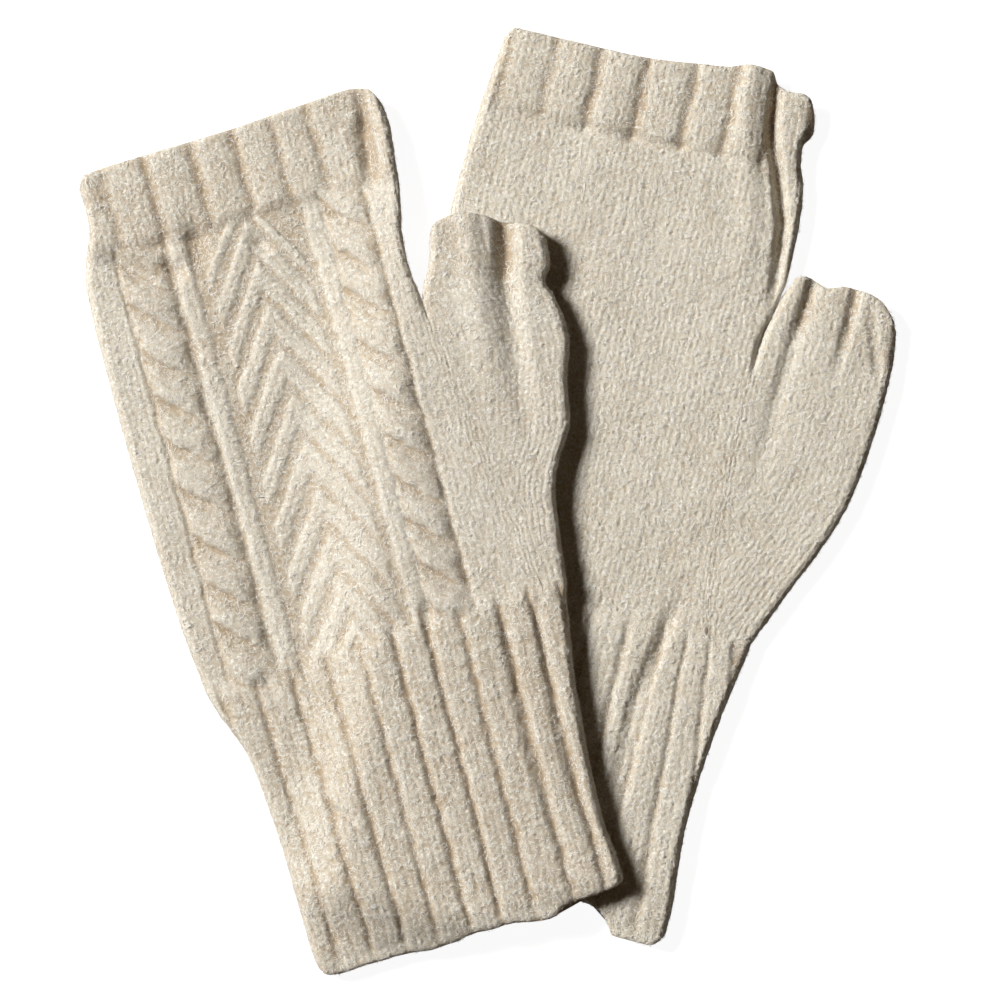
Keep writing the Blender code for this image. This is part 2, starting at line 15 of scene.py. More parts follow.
import bmesh
import bpy
import numpy as np
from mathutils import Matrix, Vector


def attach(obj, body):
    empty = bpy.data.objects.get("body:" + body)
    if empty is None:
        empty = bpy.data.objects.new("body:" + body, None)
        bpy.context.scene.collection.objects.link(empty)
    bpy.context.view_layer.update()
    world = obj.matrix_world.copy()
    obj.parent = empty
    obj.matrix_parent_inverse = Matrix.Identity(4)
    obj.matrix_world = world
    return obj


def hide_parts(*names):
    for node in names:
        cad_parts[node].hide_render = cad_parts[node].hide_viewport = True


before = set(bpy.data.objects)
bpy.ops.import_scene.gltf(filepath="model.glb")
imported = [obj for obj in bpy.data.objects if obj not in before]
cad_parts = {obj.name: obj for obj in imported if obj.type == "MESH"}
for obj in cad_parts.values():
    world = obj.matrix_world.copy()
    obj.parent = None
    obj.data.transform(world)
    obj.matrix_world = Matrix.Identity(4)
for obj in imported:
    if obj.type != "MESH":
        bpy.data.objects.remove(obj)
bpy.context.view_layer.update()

Array = np.ndarray
log = logging.getLogger("mittens")

MM = 0.001

# Cloth and lay, in millimetres
WALL = 1.6  # the knitted cloth, without its stitches, ribs and cables
LAID = 5.6  # one mitten pressed flat: two walls and a little air
SIDE_FOLD = 2.2  # how far in from an outline the cloth has turned level
FLATTEST = 4.4  # two walls in the bottom of a fold
STACK = 7.2  # the height at which the front mitten lies on the rear one
RAMP_AT_HAND = 34.0  # the stretch over which it comes down to the table, beside the hand
RAMP_AT_HEM = 18.0  # and beside the hem, where less of it hangs over
RAMP_CLEARANCE = 1.5  # how far beyond the rear mitten's outline the ramp begins
RIM = 1.7  # how far in from a free edge the cloth has rounded over
RECESS = 1.2  # how far the lower layer lies behind the upper one at the finger edge
THINNEST = 0.5  # the least that creases and valleys leave of a wall
AIR = 0.12  # what two walls keep between them in the bottom of a crease
TURN_FADE = 9.0  # the stretch over which a side fold ends where the thumb leaves the hand
NO_RIM = 9.0  # well in from any free edge
TINY = 1e-6
WHOLLY = 0.001  # a side fold turned to within this share is whole
FOLD_CELLS = 11  # the cells round a side fold
FOLD_ARC = 2.5  # the radius that gives a side fold its length over the cloth
THUMB_SPREAD = 9.0  # the stretch over which the thumb's wales turn away from the hand's

# Stitches, in millimetres
WALE = 3.37  # one column of stitches
COURSE = 2.05  # one row of stitches
STITCH = 0.26  # the height of a stitch's legs
STITCH_MEAN = 0.15  # the part of that height that the wall's own surface stands for
TUFT = 0.14  # how uneven brushed wool is
WANDER = 0.9  # how far stitches stray from their rows
CELL = 0.44  # one cell of a visible surface
COARSE = 6  # cells of an outer surface to one of its inside

# Cables, in millimetres
ROPE_HEIGHT = 2.2  # above the purl ground
ROPE_FALL = 0.95  # how far down a groove runs on its way across a rope, in crossings
LINE_HEIGHT = 0.3  # the upright lines, above plain knitting
LINE_WIDTH = 5.6
ARM_HEIGHT = 0.3  # the arms of the chevrons
ARM_WIDTH = 5.0
GROUND_DROP = 0.4  # how far the purl ground of the cables lies below plain knitting
GROUND_PAINTED_SHADE = 0.5  # and how far painted shade darkens its colour
KNUCKLE_RIB = 1.1  # the depth of the ribs round the fingers
WRIST_RIB = 1.08  # and round the wrist


# --- tables and curves ---------------------------------------------------------------------------


class Section(NamedTuple):
    """The outline of a mitten at one course."""

    down: float
    left: float
    right: float


class Edge(NamedTuple):
    """How far an edge lies below its course."""

    across: float
    drop: float


class GussetPoint(NamedTuple):
    """A point of the line where the hand meets the thumb."""

    down: float
    across: float


class ThumbSection(NamedTuple):
    """The two ends of a section of the thumb."""

    left_across: float
    left_down: float
    right_across: float
    right_down: float


class Valley(NamedTuple):
    """A valley of a ribbed band: its middle at both ends of the band, and its depth."""

    top: float
    bottom: float
    depth: float


class Fold(NamedTuple):
    """A swell or hollow of the whole mitten along a line."""

    down: tuple[float, ...]
    across: tuple[float, ...]
    rise: tuple[float, ...]
    before: float
    after: float


class Crease(NamedTuple):
    """A soft trough of the upper cloth along a line of (across, down, depth) points."""

    points: tuple[tuple[float, float, float], ...]
    width: float


class Rope(NamedTuple):
    """A two-strand cable, with the left ends of the grooves between its crossings."""

    middle: float
    half_width: float
    grooves: tuple[float, ...]


class Chevron(NamedTuple):
    """The panel of nested chevrons, with the peaks of its ridges."""

    middle: float
    left: float
    right: float
    left_angle: float
    right_angle: float
    peaks: tuple[float, ...]


def rows_of(kind: type, *values: tuple[float, ...]) -> tuple:
    """A table of named rows, all of one kind."""
    return tuple(kind(*row) for row in values)


def linked(name: str, data: bpy.types.ID) -> bpy.types.Object:
    """A new object of the data, in the scene."""
    thing = bpy.data.objects.new(name, data)
    bpy.context.scene.collection.objects.link(thing)
    return thing


def meshed(name: str, bm: bmesh.types.BMesh) -> bpy.types.Mesh:
    """A new mesh of a finished bmesh, which is freed."""
    mesh = bpy.data.meshes.new(name)
    bm.to_mesh(mesh)
    bm.free()
    return mesh


def ease(t: Array) -> Array:
    """Rises smoothly from 0 to 1 as t does."""
    t = np.clip(t, 0.0, 1.0)
    return t * t * (3.0 - 2.0 * t)


def smooth(x: Array, xs: tuple[float, ...], ys: tuple[float, ...]) -> Array:
    """A curve through points that never overshoots them, held level past its ends.

    Args:
        x: where to read the curve.
        xs: the points' places, rising.
        ys: the points' values.

    Returns:
        The curve's values at x.
    """
    places, values = np.asarray(xs, float), np.asarray(ys, float)
    x = np.clip(np.asarray(x, float), places[0], places[-1])
    step = np.diff(places)
    rate = np.diff(values) / step
    slope = np.zeros_like(places)
    slope[0], slope[-1] = rate[0], rate[-1]
    same_way = rate[:-1] * rate[1:] > 0
    inner = np.zeros(len(places) - 2)
    inner[same_way] = 2 * rate[:-1][same_way] * rate[1:][same_way] / (rate[:-1] + rate[1:])[same_way]
    slope[1:-1] = inner
    k = np.clip(np.searchsorted(places, x, side="right") - 1, 0, len(places) - 2)
    t = (x - places[k]) / step[k]
    return (
        values[k] * (1 + 2 * t) * (1 - t) ** 2
        + values[k + 1] * t * t * (3 - 2 * t)
        + step[k] * (slope[k] * t * (1 - t) ** 2 - slope[k + 1] * t * t * (1 - t))
    )


def read(table: tuple, x: Array, column: str, by: str = "down") -> Array:
    """Reads a named column of a table at x, smoothly between its rows."""
    return smooth(x, [getattr(row, by) for row in table], [getattr(row, column) for row in table])


def hump(distance: Array, half_width: float | Array) -> Array:
    """1 on a line, falling smoothly to 0 at half_width to either side of it."""
    return ease(1.0 - np.abs(distance) / half_width)


def trough(across: Array, down: Array, crease: Crease) -> Array:
    """How deep a crease is at each point: a soft trough with rounded banks."""
    deepest = np.zeros(np.shape(across))
    for (x0, y0, d0), (x1, y1, d1) in zip(crease.points[:-1], crease.points[1:], strict=True):
        dx, dy = x1 - x0, y1 - y0
        t = np.clip(((across - x0) * dx + (down - y0) * dy) / (dx * dx + dy * dy), 0.0, 1.0)
        distance = np.hypot(across - x0 - t * dx, down - y0 - t * dy)
        depth = (d0 + (d1 - d0) * t) * hump(distance, crease.width)
        deepest = np.where(np.abs(depth) > np.abs(deepest), depth, deepest)
    return deepest


# --- stitches ------------------------------------------------------------------------------------


class Relief(NamedTuple):
    """What the knitting adds to plain cloth: its broad form, its stitches and its painted shade.

    Form and stitches are in millimetres, and painted_shade goes from 0 on top to 1 in a valley.
    """

    form: Array
    stitch: Array
    painted_shade: Array


class Stitches:
    """Stitches on a field of wales and courses, each a little unlike the next."""

    LEG_FROM_MIDDLE = 0.25
    LEG_LEAN = 0.17
    LEG_HALF_WIDTH = 0.25
    LEG_HALF_LENGTH = 0.80
    LEG_RISE = 0.28
    PURL_WAVE = 0.2
    PURL_FLOOR = 0.25
    PURL_RISE = 0.4
    ASTRAY_ACROSS = 0.12
    ASTRAY_DOWN = 0.2
    UNEVEN_HEIGHT = 0.6
    PURL_ROUND = 0.8
    REPEAT = (67, 101, 3)  # columns and rows after which the unevenness repeats, and its three values

    def __init__(self, seed: int) -> None:
        """Draws the unevenness of the stitches from a seed."""
        self.uneven = np.random.default_rng(seed).random(self.REPEAT)

    def plain(self, wale: Array, course: Array) -> Array:
        """Height from 0 to about 1 of knit stitches, whose legs meet towards the wrist.

        Args:
            wale: how many columns of stitches across, whole between two columns.
            course: how many rows of stitches down.

        Returns:
            The height of the highest leg at each point.
        """
        best = np.zeros(np.shape(wale))
        column, row = np.floor(wale), np.floor(course)
        for beside in (-1, 0, 1):
            for below in (-1, 0, 1):
                i = (column + beside).astype(int) % self.uneven.shape[0]
                j = (row + below).astype(int) % self.uneven.shape[1]
                odd = self.uneven[i, j] - 0.5
                u = wale - column - beside - 0.5 + self.ASTRAY_ACROSS * odd[..., 0]
                v = course - row - below - 0.5 + self.ASTRAY_DOWN * odd[..., 1]
                for side in (-1, 1):
                    if beside == side:
                        continue
                    off = u - side * (self.LEG_FROM_MIDDLE - self.LEG_LEAN * v)
                    off = off / self.LEG_HALF_WIDTH
                    high = np.sqrt(np.clip(1.0 - off**2 - (v / self.LEG_HALF_LENGTH) ** 2, 0.0, 1.0))
                    high = high * (1.0 + self.LEG_RISE * v) * (1.0 + self.UNEVEN_HEIGHT * odd[..., 2])
                    best = np.maximum(best, high)
        return best

    def purl(self, wale: Array, course: Array) -> Array:
        """Height of purl stitches: low waves that run across the wales."""
        wave = course + self.PURL_WAVE * np.cos(2 * pi * wale)
        return self.PURL_FLOOR + self.PURL_RISE * np.abs(np.sin(pi * wave)) ** self.PURL_ROUND


class Tufts:
    """Brushed wool's unevenness: smooth random heights on a square net."""

    NET = (197, 211)

    def __init__(self, seed: int) -> None:
        """Draws the net's heights from a seed."""
        self.net = np.random.default_rng(seed).random(self.NET) - 0.5

    def at(self, across: Array, down: Array, size: float) -> Array:
        """Heights from -0.5 to 0.5.

        Args:
            across: distance across, in millimetres.
            down: distance down, in millimetres.
            size: the width of one mesh of the net.

        Returns:
            The height at each point.
        """
        u, v = across / size, down / size
        i, j = np.floor(u).astype(int), np.floor(v).astype(int)
        fu, fv = ease(u - i), ease(v - j)
        rows, columns = self.net.shape
        corner = [self.net[(i + a) % rows, (j + b) % columns] for a in (0, 1) for b in (0, 1)]
        near = corner[0] * (1 - fv) + corner[1] * fv
        far = corner[2] * (1 - fv) + corner[3] * fv
        return near * (1 - fu) + far * fu


PLAIN = Stitches(7)
TUFTS = Tufts(11)


def plain_knitting(across: Array, wide: Array, down: Array) -> Relief:
    """Plain stitches, without ribs or cables, from the same places as Mitten.relief."""
    level = np.zeros(np.shape(across))
    return Relief(level, PLAIN.plain(wide / WALE, down / COURSE) * STITCH, level)


@dataclass(frozen=True)
class Ribbing:
    """A ribbed band: level ridges of a few knit wales between purl valleys."""

    valleys: tuple[Valley, ...]
    knits: int
    height: float
    crest: float
    squareness: float = 2.6
    purl_share: float = 0.11
    # Painted shade: shade darkens the whole band's colour, VALLEY_SHADE adds more in the valleys
    shade: float = 0.2
    VALLEY_SHADE = 0.7
    SHADE_FALL = 2.5
    PURL_HEIGHT = 0.7
    PURL_EDGE = 0.1
    FAR_OFF = 9  # the first and last ridge go on this far, in ridges

    def relief(self, across: Array, course: Array, share: Array) -> Relief:
        """The band's form and stitches.

        Args:
            across: distance across the mitten, in millimetres.
            course: rows of stitches down.
            share: 0 at the band's top and 1 at its bottom.

        Returns:
            The relief of the band at each point.
        """
        middles = [v.top + (v.bottom - v.top) * share for v in self.valleys]
        depths = [v.depth for v in self.valleys]
        for _ in range(2):
            middles = [2 * middles[0] - middles[1], *middles, 2 * middles[-1] - middles[-2]]
            depths = [depths[0], *depths, depths[-1]]
        form, wale, purl, painted_shade = (np.zeros(np.shape(across)) for _ in range(4))
        for k in range(len(middles) - 1):
            place = (across - middles[k]) / (middles[k + 1] - middles[k])
            last = k == len(middles) - 2
            here = (place >= (0 if k else -self.FAR_OFF)) & (place < (self.FAR_OFF if last else 1))
            place = np.clip(place, -0.5, 1.5)  # half a ridge to spare at either end
            depth = depths[k] + (depths[k + 1] - depths[k]) * ease(place)
            fall = np.abs(2 * np.clip(place, 0, 1) - 1) ** self.squareness
            form = np.where(here, self.crest - self.height * depth * fall, form)
            # painted shade: the band's own, and more towards the bottom of each valley
            painted_shade = np.where(here, self.shade + self.VALLEY_SHADE * depth * fall**self.SHADE_FALL, painted_shade)
            knit = (place - self.purl_share) / (1 - 2 * self.purl_share) * self.knits
            wale = np.where(here, knit + k * (self.knits + 1), wale)
            side = ease((np.abs(2 * place - 1) - 1 + 2 * self.purl_share) / self.PURL_EDGE + 0.5)
            purl = np.where(here, side, purl)
        stitch = PLAIN.plain(wale, course) * (1 - purl)
        stitch = stitch + self.PURL_HEIGHT * PLAIN.purl(wale, course) * purl
        return Relief(form, stitch * STITCH, painted_shade)


@dataclass(frozen=True)
class CableBack:
    """The back's pattern: two ropes, two upright lines and nested chevrons on a purl ground."""

    ropes: tuple[Rope, ...]
    lines: tuple[float, ...]
    chevrons: Chevron
    ground_left: float
    ground_right: float
    GROUND_EDGE = 0.9
    PANEL_EDGE = 1.6
    TWIN_GROOVE = 0.12
    FAR_OFF = 99.0
    FIRST_ARM = 0.6  # how far above the first chevron the panel begins, in chevrons
    # A raised wale, against half its width
    WALE_EDGE = 0.3
    WALE_ROUND = 0.9
    TWIN_REACH = 0.35
    TWIN_SHADE = 0.3
    # A strand of a rope: it rises gently, peaks late and drops at its lower edge
    FALL_BEND = 0.75
    GROOVE_FADE = 0.25  # grooves are shallower towards the rope's right
    PEAK_LATE = 1.7
    STRAND_ROUND = 0.75
    SIDE_SQUARE = 2.5, 0.6  # how square the rope's sides are, and how much less so at its right
    SIDE_BLUNT = 0.65, 0.2
    STRAND_SLANT = 0.7
    STRAND_FLOOR = 0.25
    # Painted shade: between the strands, beside the rope, and a little over all of it
    BETWEEN_SHADE = 1.2
    BETWEEN_FALL = 1.3
    SIDE_SHADE = 0.95
    ROPE_SHADE = 0.05
    ROPE_EDGE = 0.6

    def relief(self, across: Array, down: Array) -> Relief:
        """The pattern's form and stitches over the whole back of the hand.

        Args:
            across: place across the mitten, over the cloth.
            down: how far down the mitten.

        Returns:
            The relief.
        """
        course = down / COURSE
        inside = ease((across - self.ground_left) / self.GROUND_EDGE)
        inside = inside * ease((self.ground_right - across) / self.GROUND_EDGE)
        form = -GROUND_DROP * inside
        # the purl ground's colour darkened as painted shade
        painted_shade = GROUND_PAINTED_SHADE * inside
        wale = across / WALE
        stitch = PLAIN.plain(wale, course) * (1 - inside) + PLAIN.purl(wale, course) * inside
        for raised, knit, share, painted_darkening in self._raised(across, down, course):
            form = form + raised
            painted_shade = painted_shade * (1 - share) + painted_darkening * share
            stitch = stitch * (1 - share) + knit * share
        return Relief(form, stitch * STITCH, painted_shade)

    def _raised(self, across: Array, down: Array, course: Array) -> list[tuple[Array, ...]]:
        """What stands up from the purl ground: ropes, upright lines and chevrons.

        Args:
            across: place across the mitten, over the cloth.
            down: how far down the mitten.
            course: the same, in rows of stitches.

        Returns:
            Each feature's height, stitches, share of the surface and painted shade.
        """
        features = [self._rope(across, down, rope) for rope in self.ropes]
        for line in self.lines:
            raised = LINE_HEIGHT + GROUND_DROP
            features.append(self._wale(across - line, course, LINE_WIDTH, raised, 1.0))
        panel, peaks = self.chevrons, self.chevrons.peaks
        left = across < panel.middle
        angle = np.where(left, radians(panel.left_angle), radians(panel.right_angle))
        drop = np.abs(across - panel.middle) / np.tan(angle)
        count = np.interp(down - drop, peaks, np.arange(len(peaks)), left=-1, right=self.FAR_OFF)
        near = np.clip(np.round(count), 0, len(peaks) - 1)
        pitch = (peaks[-1] - peaks[0]) / (len(peaks) - 1)
        in_panel = (count > -self.FIRST_ARM) & (count < self.FAR_OFF - 1)
        off = np.where(in_panel, (count - near) * pitch * np.sin(angle), self.FAR_OFF)
        inside = ease((across - panel.left) / self.PANEL_EDGE)
        inside = inside * ease((panel.right - across) / self.PANEL_EDGE)
        features.append(self._wale(off, course, ARM_WIDTH, ARM_HEIGHT + 0.5 * GROUND_DROP, inside))
        return features

    @classmethod
    def _wale(
        cls, off: Array, course: Array, width: float, height: float, inside: float | Array
    ) -> tuple[Array, ...]:
        """One knit wale raised on the ground, with a groove between its twin legs.

        Args:
            off: distance from the wale's middle, in millimetres.
            course: rows of stitches down.
            width: the wale's width.
            height: the wale's height.
            inside: 0 where the wale is faded out, 1 where it stands full.

        Returns:
            The height, stitches, share of the surface and painted shade.
        """
        t = np.clip(off / (width / 2), -1.0, 1.0)
        share = ease((1.0 - np.abs(t)) / cls.WALE_EDGE) * inside
        in_column = np.clip(off / width, -0.5, 0.4999) + 0.5
        knit = np.maximum(PLAIN.plain(in_column, course), 0.5)
        between_legs = 1.0 - cls.TWIN_GROOVE * hump(t, cls.TWIN_REACH)
        # painted shade along the groove between the twin legs
        painted_darkening = cls.TWIN_GROOVE * hump(t, cls.TWIN_SHADE)
        raised = height * np.cos(pi / 2 * t) ** cls.WALE_ROUND * between_legs * inside
        return raised, knit, share, painted_darkening

    @classmethod
    def _rope(cls, across: Array, down: Array, rope: Rope) -> tuple[Array, ...]:
        """A rope whose strands cross over in turn, each rising gently and dropping at its lower edge.

        Args:
            across: place across the mitten, over the cloth.
            down: how far down the mitten.
            rope: the rope.

        Returns:
            The height, stitches, share of the surface and painted shade.
        """
        t = np.clip((across - rope.middle) / rope.half_width, -1.0, 1.0)
        first, last = rope.grooves[0], rope.grooves[-1]
        pitch = (last - first) / (len(rope.grooves) - 1)
        places = [first - 2 * pitch, first - pitch, *rope.grooves, last + pitch]
        fallen = pitch * ROPE_FALL * ((t + 1) / 2) ** cls.FALL_BEND
        count = np.interp(down - fallen, places, np.arange(len(places)))
        q = count - np.floor(count)
        groove = 1.0 - cls.GROOVE_FADE * (t + 1)
        strand = np.clip(np.sin(pi * q**cls.PEAK_LATE), 0.0, 1.0) ** cls.STRAND_ROUND
        over = 1.0 - groove * (1.0 - strand)
        (square, less_square), (blunt, blunter) = cls.SIDE_SQUARE, cls.SIDE_BLUNT
        side = (1.0 - np.abs(t) ** (square - less_square * t)) ** (blunt + blunter * t)
        along = (cls.STRAND_SLANT * across + cls.STRAND_SLANT * down) / COURSE
        knit = cls.STRAND_FLOOR + (1.0 - cls.STRAND_FLOOR) * PLAIN.plain(2 * count, along)
        # painted shade between the strands and beside the rope
        between = cls.BETWEEN_SHADE * (1 - over) ** cls.BETWEEN_FALL
        painted_darkening = np.maximum(between, cls.SIDE_SHADE * (1 - side)) + cls.ROPE_SHADE
        return ROPE_HEIGHT * over * side, knit, ease(side / cls.ROPE_EDGE), painted_darkening


# --- the mittens' shapes -------------------------------------------------------------------------


class Side(Enum):
    """Which layer of a mitten laid flat."""

    UPPER = 1.0
    LOWER = -1.0


@dataclass(frozen=True)
class Mitten:
    """One mitten's outline, seams, folds and knitting, in its own frame and in millimetres."""

    name: str
    x: float
    y: float
    turn: float
    hand: tuple[Section, ...]
    gusset: tuple[GussetPoint, ...]
    thumb: tuple[ThumbSection, ...]
    finger_edge: tuple[Edge, ...]
    thumb_edge: tuple[Edge, ...]
    hem_edge: tuple[Edge, ...]
    knuckle_seam: float
    knuckle_tilt: float
    wrist_seam: float
    wrist_tilt: float
    hem: float
    knuckle: Ribbing
    wrist: Ribbing
    folds: tuple[Fold, ...]
    creases: tuple[Crease, ...]
    cables: CableBack | None
    stacked: bool
    under_hem: float
    thumb_rib: Ribbing
    # Fades in millimetres: the bands' ribs into the hand, their stitches, and the ribs at the hem
    RIB_FADE = 6.0
    RIB_PAST_SEAM = 3.4
    CUFF_FADE = 7.0
    CUFF_PAST_SEAM = 4.0
    STITCH_FADE = 1.6
    HEM_FADE = 6.0
    HEM_FADE_FROM = 7.0
    HEM_SOFT = 0.75
    # The cloth's gentle swell: heights, and the two sines that each is the product of, with the
    # lengths across and down that they turn over in, and where they begin
    WAVES = (
        (0.16, (6.1, 17.0, 1.0), (8.3, -21.0, 0.0)),
        (0.12, (3.7, -11.0, 0.0), (5.9, 9.0, 2.0)),
    )

    def place(self, across: Array, down: Array) -> tuple[Array, Array]:
        """Frame coordinates of a point of the mitten, still in millimetres."""
        c, s = cos(radians(self.turn)), sin(radians(self.turn))
        return self.x + across * c + down * s, self.y + across * s - down * c

    def locate(self, x: Array, y: Array) -> tuple[Array, Array]:
        """The mitten's own coordinates of a point of the frame."""
        c, s = cos(radians(self.turn)), sin(radians(self.turn))
        return (x - self.x) * c + (y - self.y) * s, (x - self.x) * s - (y - self.y) * c

    @property
    def crotch(self) -> float:
        """How far down the thumb leaves the hand."""
        return self.gusset[0].down

    def tilt(self, down: Array) -> Array:
        """How much a course of knitting leans, worked out from the two seams."""
        rows = (0.0, self.knuckle_seam, self.wrist_seam, self.hem)
        return np.interp(down, rows, (0.0, self.knuckle_tilt, self.wrist_tilt, 0.0))

    def base(self, x: Array, y: Array) -> Array:
        """Height of the underside: the table, or the mitten that this one lies on."""
        if not self.stacked:
            return np.zeros(np.shape(x))
        across, down = REAR.locate(x, y)
        edge = read(REAR.hand, down, "left") - RAMP_CLEARANCE
        ramp = smooth(down, (REAR.crotch, REAR.hem), (RAMP_AT_HAND, RAMP_AT_HEM))
        over = ease((across - edge + ramp) / ramp)
        past = ease((down - REAR.hem - RAMP_CLEARANCE) / RAMP_AT_HEM)
        return STACK * over * (1.0 - past)

    def thickness(self, across: Array, down: Array) -> Array:
        """The laid thickness without ribs and cables: swollen or pressed in at the folds."""
        thick = np.full(np.shape(across), LAID)
        for fold in self.folds:
            middle = smooth(down, fold.down, fold.across)
            rise = smooth(down, fold.down, fold.rise)
            reach = np.where(across < middle, fold.before, fold.after)
            thick = thick + rise * hump(across - middle, reach)
        return np.maximum(thick, FLATTEST)

    def creased(self, across: Array, down: Array) -> Array:
        """How far the upper cloth lies below its level form, in its creases and its gentle waves."""
        waves = np.zeros(np.shape(across))
        for high, (along, aslant, ahead), (below, aside, behind) in self.WAVES:
            one = high * np.sin(across / along + down / aslant + ahead)
            waves = waves + one * np.sin(down / below + across / aside + behind)
        deep, swollen = np.zeros(np.shape(across)), np.zeros(np.shape(across))
        for crease in self.creases:
            one = trough(across, down, crease)
            deep = np.maximum(deep, one)
            swollen = np.minimum(swollen, one)
        return waves + deep + swollen

    def relief(self, across: Array, wide: Array, down: Array) -> Relief:
        """The knitting on the hand and wrist.

        Args:
            across: place across the mitten, seen from above.
            wide: the same, but measured over the cloth where it turns over at the sides.
            down: how far down the mitten.

        Returns:
            The relief, blended from band to hand to cuff.
        """
        seam = self.knuckle_seam + self.knuckle_tilt * across
        wrist = self.wrist_seam + self.wrist_tilt * across
        course = down / COURSE
        knuckle = self.knuckle.relief(wide, course, np.clip(down / seam, 0, 1))
        cuff = self.wrist.relief(wide, course, np.clip((down - wrist) / (self.hem - wrist), 0, 1))
        hand = self.cables.relief(wide, down) if self.cables else plain_knitting(across, wide, down)
        in_band = ease((seam + self.RIB_PAST_SEAM - down) / self.RIB_FADE)
        in_cuff = ease((down - wrist + self.CUFF_PAST_SEAM) / self.CUFF_FADE)
        in_hand = (1 - in_band) * (1 - in_cuff)
        form = hand.form * in_hand + knuckle.form * in_band + cuff.form * in_cuff
        painted_shade = hand.painted_shade * in_hand + knuckle.painted_shade * in_band + cuff.painted_shade * in_cuff
        band_stitch = ease((seam - down) / self.STITCH_FADE + 0.5)
        cuff_stitch = ease((down - wrist) / self.STITCH_FADE + 0.5)
        stitch = hand.stitch * (1 - band_stitch) * (1 - cuff_stitch)
        stitch = stitch + knuckle.stitch * band_stitch + cuff.stitch * cuff_stitch
        faded = 1.0 - self.HEM_SOFT * ease((down - self.hem + self.HEM_FADE_FROM) / self.HEM_FADE)
        return Relief(form * faded, stitch, painted_shade * faded)


